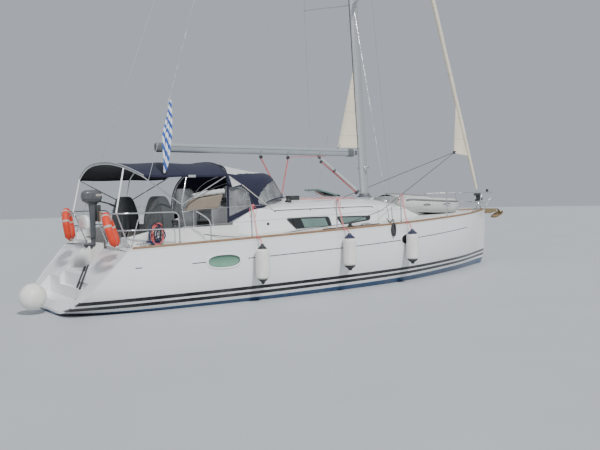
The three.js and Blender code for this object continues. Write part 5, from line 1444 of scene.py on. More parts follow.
def lanyard(name, eye, side):
    """A doubled line from a fender's eye over the toe rail to a clove hitch on the nearest stanchion's
    lifeline."""
    x, y, z = eye
    post = min(STANCHIONS, key=lambda p: abs(p - x))
    rail_y = side * (float(sheer_y(np.array(post))) - 0.095)
    rail_z = float(deck_z(np.array(post), np.array(rail_y))) + 0.600
    edge = (x + 0.2 * (post - x), side * (float(sheer_y(np.array(x))) + 0.006), float(sheer_z(x)) + 0.085)
    ends = (post + 0.035, rail_y - side * 0.012, rail_z - 0.02)
    lines = total(tube(curve([(x, y, z - 0.01), (x + dx, (y + edge[1]) / 2, (z + edge[2]) / 2 + 0.02),
                              (edge[0] + dx, edge[1], edge[2]), (ends[0] + dx, ends[1], ends[2])], 10),
                              0.0055, 8)
                  for dx in (-0.010, 0.012))
    loops = total(tube([(ends[0] + 0.012 * k, ends[1] + 0.016 * math.cos(a),
                         ends[2] + 0.022 + 0.016 * math.sin(a))
                        for a in np.linspace(0, 2 * np.pi, 14, endpoint=False)], 0.006, 8, closed=True)
                  for k in (-1, 0, 1, 2))
    tails = total(tube(curve([(ends[0] + 0.02 * k, ends[1], ends[2]),
                              (ends[0] + 0.05 * k, ends[1] - side * 0.03,
                              ends[2] - 0.05),
                              (ends[0] + 0.035 * k, ends[1] - side * 0.03, ends[2] - 0.20)], 8),
                       0.0055, 8) for k in (-1, 2))
    build(name, [(lines + loops + tails, PINK_ROPE)])


def make_dinghy():
    """An upturned inflatable: round tubes bent to a U and coned at their ends, a strake round them, and the
    fabric floor arched over them."""
    side = [(8.02, 0.560, 1.690), (9.70, 0.560, 1.590), (10.33, 0.170, 1.575)]
    half = np.array(side)
    loop = np.vstack([half * [1, -1, 1], half[::-1]])
    path = curve(bent(loop, 0.55, 10), 3)
    along_ = lengths(path)
    even = np.linspace(0, along_[-1], 96)
    path = np.stack([np.interp(even, along_, path[:, k]) for k in range(3)], -1)
    along_ = even
    ends = np.minimum(along_, along_[-1] - along_)
    radius = 0.185 * np.clip(ends / 0.28, 0.0, 1.0) ** 0.45
    radius = np.maximum(radius, 0.035)
    body = tube(path, radius, 36)
    outward = np.cross(np.gradient(path, axis=0), [0, 0, 1.0])
    outward /= np.linalg.norm(outward, axis=1, keepdims=True)
    outward *= np.sign(outward[10, 1] * path[10, 1])
    strake = tube((path + outward * radius[:, None] * 0.78 + [0, 0, 1] * (radius * 0.56)[:, None])[3:-3],
                  0.030, 14)
    x = np.linspace(8.16, 10.12, 28)[:, None]
    y = np.linspace(-1, 1, 25)[None]
    width = 0.56 - 0.36 * np.clip((x - 9.2) / 0.95, 0, 1) ** 2
    tube_z = np.interp(x, [8.02, 9.70, 10.33], [1.690, 1.590, 1.575])
    floor_z = tube_z + 0.06 + 0.17 * (1 - y ** 2) * (1 - 0.5 * np.clip((x - 9.4) / 0.7, 0, 1))
    floor = xyz(x, width * y, floor_z)
    keel = tube(np.stack([x[:, 0], 0 * x[:, 0], floor[:, 12, 2] + 0.01], -1), 0.022, 12)
    transom = block((8.13, -0.42, 1.50), (8.165, 0.42, 1.86), 0.012)
    handles = total(tube(curve([(hx - 0.12, s * 0.742, 1.64), (hx, s * 0.775, 1.66),
                                (hx + 0.12, s * 0.742, 1.635)]),
                         0.010, 8) for hx in (8.8, 9.5) for s in (-1, 1))
    build("upturned_dinghy", [(body, TUBE_GREY), (strake, STRAKE), (thick(floor, 0.012), TUBE_GREY),
                              (keel, STRAKE), (transom, STRAKE_GREY), (handles, DARK)],
          replaces=["dinghy"], crease=50)


# Rails

def circle(centre, radius, axis="X", count=40):
    """Points round a circle square to an axis."""
    turn = np.linspace(0, 2 * np.pi, count, endpoint=False)
    a, b = radius * np.cos(turn), radius * np.sin(turn)
    return xyz(*{"X": (0, a, b), "Y": (a, 0, b), "Z": (a, b, 0)}[axis]) + centre


def rail_y(x):
    return sheer_y(np.asarray(x, float)) - 0.095


def rail_z(x):
    return deck_z(np.asarray(x, float), rail_y(x)) + 0.600


def rail(points, bend=0.12, radius=0.0125):
    return tube(bent(points, bend, 8), radius, 14)


def foot(x, y, z=None):
    """A round base with its socket, on the deck unless a height is given."""
    z = float(deck_z(np.array(x), np.array(y))) if z is None else z
    return turned([(0, 0), (0.036, 0), (0.034, 0.007), (0.020, 0.011), (0.0175, 0.055), (0, 0.055)],
                  (x, y, z), 20)


def wire(side, drop):
    """A guard wire from the pushpit over the stanchions to the pulpit, with a screw at each end."""
    x = np.array([2.140, *STANCHIONS])
    middle = xyz(x, side * rail_y(x), rail_z(x) - drop)
    path = np.vstack([[(1.830, side * 1.650, 1.715 - 0.9 * drop)], middle,
                      [(10.300, side * 0.890, 1.895 - drop)]])
    screws = [straight(path[k], path[k] + (path[j] - path[k]) * 0.18 / np.linalg.norm(path[j] - path[k]), 5)
              for k, j in ((0, 1), (-1, -2))]
    return tube(path, 0.0036, 8) + total(tube(run, [0.004, 0.0075, 0.0075, 0.0075, 0.004],
                                              10) for run in screws)


def make_pulpit():
    parts = []
    for _, side in SIDES:
        end = (11.560, side * 0.150, 1.425)
        top = [(10.300, side * 0.860, 1.895), (11.350, side * 0.330, 1.895), (11.920, side * 0.170, 1.895),
               end]
        middle = [(10.340, side * 0.800, 1.640), (11.100, side * 0.440, 1.640), (11.700, side * 0.160, 1.640)]
        parts += [rail(top, 0.15), rail(middle), foot(*end)]
        for x, y in ((10.340, 0.840), (11.100, 0.455)):
            inset = min(y, float(sheer_y(np.array(x))) - 0.060)
            base = (x, side * inset, float(deck_z(np.array(x), inset)))
            parts += [rail([base, (x, side * y, 1.895)]), foot(*base)]
    cross = rail([(11.870, -0.185, 1.880), (11.870, 0.185, 1.880)])
    lamp = turned([(0, -0.045), (0.030, -0.040), (0.036, 0), (0.030, 0.040), (0, 0.045)],
                  (11.870, 0, 1.935), 20)
    build("pulpit_tubes", [(total(parts) + cross, STEEL), (lamp, DARK)], replaces=["pulpit"])


def make_pushpits():
    for name, side in SIDES:
        def level(z, lean):
            corners = [(1.780, 1.640), (0.900 - lean, 1.540), (0.900 - lean, 0.560)]
            return bent([(x, side * y, z) for x, y in corners], 0.26, 8)
        feet = [(1.780, side * 1.660), (0.930, side * 1.430), (0.905, side * 0.560, 1.120)]
        bases = [(*at[:2], at[2] if len(at) > 2 else float(deck_z(np.array(at[0]),
                                                                  np.array(at[1])))) for at in feet]
        upper = rail(np.vstack([[bases[0]], level(1.730, 0.230), [bases[2]]]))
        leg = rail([bases[1], (0.700, side * 1.500, 1.730)])
        lower = tube(level(1.440, 0.120), 0.0125, 14)
        build(f"pushpit_tubes_{name}", [(upper + leg + lower + total(foot(*b) for b in bases), STEEL)],
              replaces=[f"pushpit_{name}"])


def make_guardrails():
    """Stanchions in their sockets and the bent gate post, with the wires that run through them."""
    for name, side in SIDES:
        parts = []
        for x in STANCHIONS:
            y = side * float(rail_y(x))
            parts += [tube([(x, y, rail_z(x) - 0.62), (x, y, rail_z(x) - 0.006), (x, y, rail_z(x) + 0.008)],
                           [0.0125, 0.0125, 0.008], 14), foot(x, y)]
            parts += [turned([(0.0125, -0.012), (0.017, -0.009), (0.017, 0.009), (0.0125, 0.012),
                              (0.0125, -0.012)],
                             (x, y, float(rail_z(x)) - drop), 14) for drop in (0.010, 0.290)]
        gate = [(2.382, side * 1.690, 1.175), (2.376, side * 1.690, 1.530), (2.300, side * 1.690, 1.610),
                (2.090, side * 1.688, 1.735)]
        low_wire = wire(side, 0.290)
        build(f"guardrail_posts_{name}", [(total(parts) + rail(gate, 0.10) + foot(*gate[0][:2]) + low_wire,
                                           STEEL)],
              replaces=[f"guardrail_{name}"])
        build(f"upper_wire_{name}", [(wire(side, 0.0), STEEL)], replaces=[f"lifeline_{name}"])


# Helms and cockpit

def loft(rows, power=3.0, count=32, steps=4):
    """A closed body through rounded-rectangle rings: rows of x, y, z, half length and half width,
    smoothed."""
    rows = along(rows, np.linspace(0, len(rows) - 1, (len(rows) - 1) * steps + 1))[:, :, None]
    ring = outline(1, 1, power, count)
    return capped(xyz(rows[:, 0] + rows[:, 3] * ring[:, 0], rows[:, 1] + rows[:, 4] * ring[:, 1], rows[:, 2]))


HELM = {"x": 1.690, "y": 0.800, "z": 1.530, "radius": 0.400}
COVER_ROWS = [  # height, aft and forward edge, half breadth, from the hem to the top
    (1.330, 1.600, 1.990, 0.446), (1.350, 1.606, 1.986, 0.440), (1.450, 1.604, 1.988, 0.438),
    (1.600, 1.610, 1.980, 0.428), (1.750, 1.622, 1.960, 0.376), (1.900, 1.648, 1.925, 0.290),
    (1.965, 1.672, 1.895, 0.245), (1.998, 1.700, 1.868, 0.205), (2.008, 1.735, 1.835, 0.150),
    (2.010, 1.783, 1.786, 0.001),
]


def cover_grid(y, inset):
    """Superellipses up a cover, with upright folds that deepen towards its hem: 9 waves round it, shifted
    by 3
    slower ones."""
    rows = along(COVER_ROWS, np.linspace(0, len(COVER_ROWS) - 1, 82))[:, :, None]
    z, aft, forward, half = (rows[:, k] for k in range(4))
    turn = np.linspace(0, 2 * np.pi, 120, endpoint=False)
    slack = np.clip((1.90 - z) / 0.5, 0, 1)
    fold = 0.013 * slack * np.sin(9 * turn + 1.3 * np.sin(3 * turn)) - inset
    ring = outline(1, 1, 3.0, 120)
    x = (aft + forward) / 2 + np.maximum((forward - aft) / 2 + fold, 0) * ring[:, 0]
    return xyz(x, y + np.maximum(half + fold, 0) * ring[:, 1], np.minimum(z, 2.010 - inset))


def make_helms():
    """Each helm: a leather-bound wheel on its axle, and a canvas cover tied over the pedestal."""
    for name, side in SIDES:
        hub = np.array([HELM["x"], side * HELM["y"], HELM["z"]])
        turns = np.arange(5) * 2 * np.pi / 5
        ways = xyz(0, np.sin(turns), np.cos(turns))
        spokes = total(tube(straight(hub + 0.03 * way, hub + 0.392 * way, 8), np.linspace(0.011, 0.007, 8),
                            12)
                       for way in ways)
        bore = [(0.021, -0.030), (0.045, -0.030), (0.048, -0.010), (0.048, 0.010), (0.030, 0.030),
                (0.021, 0.030),
                (0.021, -0.030)]
        stitches = total(tube(circle(hub, 0.3855, count=80)[k:k + 3], 0.0012, 5) for k in range(0, 78, 4))
        build(f"wheel_rim_{name}", [(tube(circle(hub, HELM["radius"], count=96), 0.0150, 14, closed=True),
                                     LEATHER),
                                    (spokes + turned(bore, hub, 36, "X"), STEEL), (stitches, PALE_ROPE)],
              body=f"wheel_{name}", replaces=[f"wheel_{name}"])
        console = block((1.790, hub[1] - 0.130, 0.704), (1.930, hub[1] + 0.130, 1.750), 0.04)
        axle = tube(straight(hub - [0.028, 0, 0], (1.800, hub[1], hub[2]), 3), 0.018, 20)
        build(f"helm_console_{name}", [(console, WHITE), (axle, STEEL)])
        outer, inner = cover_grid(hub[1], 0.0), cover_grid(hub[1], 0.006)
        hem = patch(np.stack([inner[0], outer[0]]), wrap=True)
        cover = build(f"helm_cover_{name}",
                      [(patch(outer, wrap=True) + patch(inner, wrap=True) + hem, GREY_CLOTH)],
                      replaces=[f"helm_pedestal_{name}"], crease=60)
        cinch = build(f"helm_cinch_{name}",
                      [(tube(cover_grid(hub[1], -0.003)[9], 0.0035, 8, closed=True), DARK)])
        drum = winch_shape(1.900, side * 1.225, 1.417, 0.074)
        handle = turned([(0.020, 0.157), (0.024, 0.160), (0.024, 0.168), (0, 0.170)],
                        (1.900, side * 1.225, 1.417), 8)
        build(f"winch_drum_{name}", [(drum, DARK), (handle, STEEL)], replaces=[f"winch_{name}"])


def puffed(obj, voxel=0.006, pressure=4.0, cap=0.010):
    """Blows a closed cushion up as cloth for twenty frames, with no point moving further than the cap."""
    scene = bpy.context.scene
    remesh = obj.modifiers.new("even", "REMESH")
    remesh.mode = "VOXEL"
    remesh.voxel_size = voxel
    applied(obj)
    start = coordinates(obj.data)
    cloth = obj.modifiers.new("cloth", "CLOTH")
    cloth.settings.use_pressure = True
    cloth.settings.uniform_pressure_force = pressure
    cloth.settings.effector_weights.gravity = 0.0
    cloth.point_cache.frame_start, cloth.point_cache.frame_end = 1, 20
    for step in range(1, 21):
        scene.frame_set(step)
    applied(obj)
    moved = coordinates(obj.data) - start
    reach = np.linalg.norm(moved, axis=1, keepdims=True)
    held = start + moved * np.minimum(1, cap / np.maximum(reach, 1e-9))
    obj.data.vertices.foreach_set("co", held.astype(np.float32).ravel())
    obj.data.polygons.foreach_set("use_smooth", np.ones(len(obj.data.polygons), bool))
    scene.frame_set(1)


def coordinates(mesh):
    flat = np.empty(len(mesh.vertices) * 3, np.float32)
    mesh.vertices.foreach_get("co", flat)
    return flat.reshape(-1, 3).astype(float)


def applied(obj):
    """Makes a piece's modifiers its mesh."""
    bpy.context.view_layer.update()
    done = bpy.data.meshes.new_from_object(obj.evaluated_get(bpy.context.evaluated_depsgraph_get()))
    obj.modifiers.clear()
    obj.data = done


PAD = np.array([(2.110, 1.700), (2.840, 1.750), (2.940, 2.030), (2.220, 1.950)])  # x, z


def make_backrest():
    """A tan pad blown up between its piped edges, on two legs, with a white roll laid along its top."""
    middle = PAD.mean(0)
    core = middle + (PAD - middle) * 0.975
    edge = bent(np.vstack([core[-1:], core, core[:1]]), 0.045)[1:-1]
    pad = build("backrest_pad", [(prism(edge, -1.216, -1.160, 0.06), TAN_CLOTH)], replaces=["backrest"])
    puffed(pad, cap=0.012)
    line = xyz(edge[:, 0], -1.188, edge[:, 1])
    piping = tube(middle_out(line, 1.012), 0.006, 8, closed=True)
    legs = total(rail([(x, -1.188, 1.428), (x, -1.188, 1.735)]) + turned(
        [(0, 0), (0.030, 0), (0.028, 0.010), (0.014, 0.014), (0, 0.014)], (x, -1.188, 1.427), 20)
        for x in (2.300, 2.700))
    roll_path = curve([(2.300, -1.188, 1.985), (2.520, -1.190, 2.035), (2.760, -1.190, 2.060),
                       (2.950, -1.188, 2.075)], 10)
    roll = tube(roll_path, 0.046 + 0.004 * np.sin(np.arange(len(roll_path)) * 1.1), 20)
    build("backrest_trim", [(piping, TAN_CLOTH), (legs, STEEL), (roll, WHITE_CLOTH)])


def middle_out(points, scale):
    """A ring of points moved away from its middle."""
    return points.mean(0) + (points - points.mean(0)) * scale


def softened(node, material, width=0.008, body="root"):
    """A copy of a frame node with its edges rounded, which stands for it."""
    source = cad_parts[node]
    mesh = source.data.copy()
    mesh.transform(source.matrix_world)
    work = bmesh.new()
    work.from_mesh(mesh)
    bmesh.ops.remove_doubles(work, verts=work.verts, dist=1e-5)
    bmesh.ops.dissolve_limit(work, angle_limit=0.02, verts=work.verts, edges=work.edges)
    bmesh.ops.recalc_face_normals(work, faces=work.faces)
    work.to_mesh(mesh)
    work.free()
    mesh.materials.clear()
    mesh.materials.append(material)
    obj = bpy.data.objects.new(f"{node}_rounded", mesh)
    bpy.context.scene.collection.objects.link(obj)
    modifier = obj.modifiers.new("round", "BEVEL")
    modifier.width = width
    modifier.segments = 3
    modifier.limit_method = "ANGLE"
    modifier.angle_limit = math.radians(30)
    mesh.polygons.foreach_set("use_smooth", np.ones(len(mesh.polygons), bool))
    mesh.set_sharp_from_angle(angle=math.radians(40))
    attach(obj, body)
    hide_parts(node)
    return obj


# What hangs at the stern

OUTBOARD = (0.562, -0.750)


def make_outboard():
    """The stowed motor: a cowl over a dark pan, a leg that flares up to it, and its plate, gearcase and
    blades."""
    x, y = OUTBOARD
    cowl = loft([(x - 0.012, y, 1.985, 0.165, 0.112), (x - 0.013, y, 2.000, 0.176, 0.118),
                 (x - 0.015, y, 2.080, 0.170, 0.115), (x - 0.018, y, 2.115, 0.146, 0.102),
                 (x - 0.022, y, 2.140, 0.108, 0.072), (x - 0.022, y, 2.146, 0.050, 0.034)], 3.4, 40)
    pan = loft([(x, y, 1.890, 0.070, 0.050), (x - 0.005, y, 1.925, 0.115, 0.084),
                (x - 0.012, y, 1.950, 0.156, 0.108),
                (x - 0.012, y, 1.984, 0.166, 0.113)], 3.2, 40)
    ring = outline(0.1745, 0.1175, 3.4, 80)
    ring = ring[ring[:, 0] > 0.015]
    ring = ring[np.argsort(ring[:, 1])]
    band = sweep(outline(0.002, 0.019, 3, 8), xyz(x - 0.014 + ring[:, 0], y + ring[:, 1], 2.052),
                 up=(0, 0, 1))
    leg = loft([(x - 0.005, y, 1.150, 0.030, 0.014), (x - 0.006, y, 1.300, 0.045, 0.020),
                (x - 0.005, y, 1.360, 0.046, 0.030), (x - 0.004, y, 1.640, 0.050, 0.038),
                (x - 0.002, y, 1.800, 0.060, 0.044), (x, y, 1.895, 0.072, 0.052)], 2.6, 32)
    plate = loft([(x - 0.045, y, 1.318, 0.080, 0.056), (x - 0.047, y, 1.327, 0.086, 0.060),
                  (x - 0.045, y, 1.336, 0.080, 0.056)], 2.4, 32)
    case = turned(along([(0, -0.125), (0.018, -0.120), (0.031, -0.060), (0.034, 0.0), (0.030, 0.040),
                         (0, 0.075)],
                        np.linspace(0, 5, 21)), (x - 0.030, y, 1.195), 28, "X")
    skeg = prism([(x - 0.070, 1.175), (x + 0.010, 1.175), (x - 0.030, 1.112), (x - 0.062, 1.112)],
                 y - 0.005, y + 0.005)
    radius = np.linspace(0.018, 0.085, 8)[:, None]
    spread = np.linspace(-1, 1, 9)[None]
    width = 0.030 * np.sin(np.pi * np.clip((radius - 0.006) / 0.086, 0, 1)) ** 0.6
    blade = thick(xyz(0.55 * width * spread, width * spread, radius), 0.004)
    blades = total(blade.turned("X", 2 * np.pi * k / 3) for k in range(3)).moved(x - 0.135, y, 1.195)
    clamp = total(block((x + 0.045, y + s * 0.062 - 0.010, 1.600),
                        (x + 0.125, y + s * 0.062 + 0.010, 1.880), 0.008)
                  for s in (-1, 1))
    screws = total(tube(straight((x + 0.115, y + s * 0.062, 1.655), (x + 0.165, y + s * 0.062, 1.655), 3),
                        0.008, 12)
                   + tube(straight((x + 0.163, y + s * 0.062 - 0.03, 1.655),
                                   (x + 0.163, y + s * 0.062 + 0.03, 1.655),
                                   5), 0.005, 8) for s in (-1, 1))
    board = block((x + 0.085, y - 0.130, 1.585), (x + 0.102, y + 0.130, 1.775), 0.012)
    tiller = rail([(x + 0.10, y + 0.01, 1.945), (x + 0.26, y + 0.03, 1.915), (x + 0.40, y + 0.05, 1.860)],
                  0.08, 0.013)
    grip = tube(straight((x + 0.33, y + 0.04, 1.888), (x + 0.44, y + 0.056, 1.844), 12),
                0.0185 + 0.0015 * (np.arange(12) % 2), 14)
    build("outboard_motor_body", [(cowl, COWL), (band, WEBBING), (pan + leg + plate + case + skeg, LEG_PAINT),
                                  (blades + clamp + tiller + grip, DARK), (screws, STEEL), (board, TEAK)],
          replaces=["outboard_motor"], crease=45)


HORSESHOES = {
    "starboard": {"middle": (0.540, -1.635, 1.453), "lean": 0.30, "clamp": (0.745, -1.462, 1.728)},
    "port": {"middle": (0.500, 0.383, 1.505), "lean": 0.12, "clamp": (0.700, 0.561, 1.638)},
}


def make_horseshoes():
    """Padded buoys bent to a U, tilted aft and turned a little from square, with webbing round them."""
    half = np.array([(0, -0.150, -0.270), (0, -0.205, 0.100)])
    bend = np.vstack([half, [(0, 0, 0.300)], (half * [1, -1, 1])[::-1]])
    path = curve(bent(bend, 0.20, 8), 3)
    span = lengths(path)
    ends = np.minimum(span, span[-1] - span)
    fat = np.clip(ends / 0.05, 0.0, 1.0) ** 0.4 * (1 + 0.02 * np.sin(span * 70))
    for name, place in HORSESHOES.items():
        def put(shape):
            return shape.turned("Y", -place["lean"]).turned("Z", -0.52).moved(*place["middle"])
        buoy = put(sweep(outline(0.070, 0.064, 2.3, 28), path, np.maximum(fat, 0.25), up=(1, 0, 0)))
        straps = []
        for at in (0.16, 0.38, 0.62, 0.84):
            k = int(at * (len(path) - 1))
            straps.append(sweep(outline(0.0715, 0.0655, 2.3, 28), path[k:k + 4], up=(1, 0, 0)))
        tabs = [straight(path[k], path[k] + [0, 0, -0.075], 3) for k in (0, -1)]
        straps += [sweep(outline(0.022, 0.004, 3, 10), tab, up=(1, 0, 0)) for tab in tabs]
        badge = sweep(outline(0.0715, 0.0652, 2.3, 28), path[10:22], up=(1, 0, 0))
        badge = Shape(badge.vertices, badge.faces[np.arange(len(badge.faces)) % 28 < 5],
                      badge.uvs[np.arange(len(badge.faces)) % 28 < 5])
        shoulder = put(Shape(np.array([[0, 0.100, 0.235]]), np.zeros((0, 4), int),
                             np.zeros((0, 4, 2)))).vertices[0]
        holder = tube(curve([shoulder, (shoulder + place["clamp"]) / 2 + [0, 0, 0.03], place["clamp"]]),
                      0.009, 10)
        pad = build(f"horseshoe_buoy_{name}", [(buoy, ORANGE)], replaces=[f"horseshoe_{name}"],
                    crease=60)
        trim = [(put(total(straps)), WEBBING), (holder, STEEL)]
        build(f"horseshoe_straps_{name}", trim + ([(put(badge), WEBBING)] if name == "starboard" else []))


ENSIGN_ROWS = [  # height, x of the aft and the forward edge, y of the aft edge
    (3.735, 1.866, 1.890, -1.240), (3.500, 1.800, 1.880, -1.260), (3.300, 1.735, 1.865, -1.278),
    (3.090, 1.675, 1.845, -1.298), (2.850, 1.672, 1.815, -1.300), (2.650, 1.680, 1.780, -1.300),
    (2.520, 1.676, 1.745, -1.300), (2.440, 1.672, 1.700, -1.300),
]


def make_ensign():
    """The flag hung by its hoist along the backstay: its folds are three waves across it, deepest half way
    down."""
    rows = along(ENSIGN_ROWS, np.linspace(0, len(ENSIGN_ROWS) - 1, 90))[:, :, None]
    f = np.linspace(0, 1, 40)[None]
    z, aft, forward, y = (rows[:, k] for k in range(4))
    breadth = forward - aft
    depth = 0.016 * np.clip(breadth / 0.10, 0, 1)
    wave = 2 * np.pi * (2.6 * f + 0.35 * (3.7 - z))
    points = xyz(aft + breadth * f + 0.10 * breadth * np.sin(wave * 2), y - depth * (1 - np.cos(wave)),
                 z - 0.05 * f * np.sin(np.pi * f))
    flag = build("ensign_cloth", [(thick(points, 0.004), FLAG)], replaces=["ensign"],
                 crease=70)


def make_stern():
    """The ball fender, the boarding ladder's two rails, the lifebuoy case and the lines stowed by the
    winch."""
    arc = np.linspace(-np.pi / 2, np.pi / 2, 41)
    ball = np.column_stack([0.235 * np.cos(arc), 0.235 * np.sin(arc)])
    ball = np.vstack([ball[:-4], [(0.042, 0.232), (0.033, 0.236), (0, 0.236)]])
    boss = [(0, 0.225), (0.046, 0.225), (0.042, 0.240), (0.028, 0.252), (0.014, 0.257), (0, 0.257)]
    build("ball_fender_round", [(turned(ball, (-0.385, -0.270, 0.310), 56), VINYL),
                                (turned(boss, (-0.385, -0.270, 0.290), 28), VINYL)],
          replaces=["ball_fender"], crease=35)
    rods = [[(0.526, -0.360, 0.770), (0.250, -0.710, 0.460)],
            [(0.560, -0.440, 0.800), (0.230, -0.900, 0.450)]]
    knobs = total(turned([(0, -0.020), (0.016, -0.014), (0.020, 0), (0.016, 0.014), (0, 0.020)], rod[0], 16)
                  for rod in rods)
    build("boarding_ladder", [(total(rail(rod, radius=0.020) for rod in rods), DARK), (knobs, WHITE)])
    case = loft([(0.780, 0.330, 1.430, 0.035, 0.200), (0.780, 0.330, 1.440, 0.055, 0.235),
                 (0.780, 0.330, 1.560, 0.060, 0.240), (0.780, 0.330, 1.640, 0.050, 0.200),
                 (0.780, 0.330, 1.685, 0.030, 0.110)], 3.0, 40)
    build("lifebuoy_case", [(case, WHITE)])
    heap = []
    coils = ((1.420, -1.470, 1.400, 0.150), (1.450, -1.480, 1.360, 0.175), (1.400, -1.465, 1.340, 0.185),
             (1.470, -1.475, 1.370, 0.140), (1.430, -1.490, 1.330, 0.165), (1.500, -1.480, 1.330, 0.120))
    for k, (x, y, z, radius) in enumerate(coils):
        turn = np.linspace(0, 2 * np.pi, 48, endpoint=False)
        loop = xyz(0.62 * radius * np.cos(turn), 0.022 * np.sin(3 * turn + k), radius * np.sin(turn))
        heap.append((tube(loop + [x, y, z], 0.012, 10, closed=True),
                     (BLACK_ROPE, RED_ROPE, NAVY_ROPE)[k % 3]))
    for k in range(4):
        loop = circle((1.330 + 0.05 * k, -1.380 + 0.02 * k, 1.196 + 0.026 * (k % 2)), 0.125 - 0.012 * k,
                      "Z", 40)
        heap.append((tube(loop, 0.013, 10, closed=True), NAVY_ROPE))
    build("stowed_lines", heap)


# Running lines, and fittings on the deck

def pulley(place, size=0.034, axis="Y"):
    """A block: two swelling cheeks with a groove between them."""
    side = [(0, -0.55), (0.7, -0.55), (1.0, -0.30), (1.0, -0.16), (0.72, -0.10), (0.72, 0.10), (1.0, 0.16),
            (1.0, 0.30), (0.7, 0.55), (0, 0.55)]
    return turned(np.array(side) * size, place, 24, axis)


def make_mainsheet():
    """The tackle between two blocks under the boom and one on the roof, and its tail along the boom."""
    high = [(4.572, 0.0, boom_z(4.572) - 0.145), (5.277, 0.0, boom_z(5.277) - 0.145)]
    low = np.array([5.060, 0.0, 1.955])
    blocks = total(pulley(place, 0.040) for place in high)
    base = pulley(tuple(low), 0.044) + block(low - [0.09, 0.05, 0.075], low + [0.09, 0.05, -0.045], 0.01)
    falls = []
    for place in high:
        for dy in (-0.017, 0.017):
            falls.append(tube(straight(low + [0.03 * np.sign(place[0] - 5), dy, 0.03],
                                       np.array(place) + [0, dy, -0.03], 26), 0.0068, 10))
    tackle = build("mainsheet_falls", [(total(falls), RED_ROPE)], body=None)
    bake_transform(tackle)
    tail = tube(curve([high[1], (5.60, -0.02, boom_z(5.6) - 0.120), (5.95, -0.02, boom_z(5.95) - 0.112),
                       (6.30, -0.03, boom_z(6.3) - 0.098)]), 0.0065, 10)
    build("mainsheet_blocks", [(blocks, DARK), (tail, RED_ROPE)], body="boom")
    build("mainsheet_base", [(base, DARK)])


def on_roof(x, y, up=0.0):
    return (x, y, float(roof_z(np.array(x), np.array(y))) + up)


def make_roof_fittings():
    """Handrails and the lines led aft along the roof, their winches and clutches, and a vent."""
    x = np.linspace(4.16, 6.88, 40)
    for name, side in SIDES:
        y = side * (at_x(ROOF_ROWS, x)[:, 2] + 0.004)
        bar = xyz(x, y, at_x(ROOF_ROWS, x)[:, 3] - 0.035)
        feet = total(block(bar[k] - [0.022, 0.010, 0.035], bar[k] + [0.022, 0.010, 0.004], 0.006)
                     for k in (0, 13, 26, 39))
        build(f"roof_handrail_{name}", [(tube(bar, 0.011, 12) + feet, (CASTING, TEAK)[side > 0])])
        lines = []
        for k, (rope, dy) in enumerate(((RED_ROPE, 0.0), (PALE_ROPE, 0.035), (RED_ROPE, 0.070))):
            run = np.array([on_roof(v, side * (0.44 - dy - 0.03 * (v - 5.1)),
                                    0.010) for v in np.linspace(5.05, 7.10, 24)])
            run[-4:, 1] -= side * np.array([0.02, 0.06, 0.12, 0.20])
            lines.append((tube(run, 0.0062, 8), rope))
        clutch = block(on_roof(4.99, side * 0.41 - 0.080, 0.0), on_roof(5.22, side * 0.41 + 0.080, 0.075),
                       0.012)
        levers = total(block(on_roof(4.98, side * (0.44 - k * 0.035) - 0.010, 0.055),
                             on_roof(5.14, side * (0.44 - k * 0.035) + 0.010, 0.078),
                             0.006) for k in range(3))
        drum = winch_shape(*on_roof(4.800, side * 0.66, 0.0), 0.062)
        build(f"roof_lines_{name}", lines + [(clutch + levers + drum, DARK)])
    vent = turned([(0, 0), (0.030, 0), (0.028, 0.010), (0, 0.014)],
                  (3.953, -roof_side(3.953, 1.406), 1.406), 24, "Y")
    build("roof_vent", [(vent.turned("X", math.pi, (3.953, -roof_side(3.953, 1.406), 1.406)), DARK)])
    dome = turned([(0, 0.085), (0.030, 0.083), (0.072, 0.060), (0.090, 0.020), (0.090, 0), (0, 0)],
                  on_roof(7.75, -0.42), 32)
    build("mushroom_vent", [(dome, STEEL)])


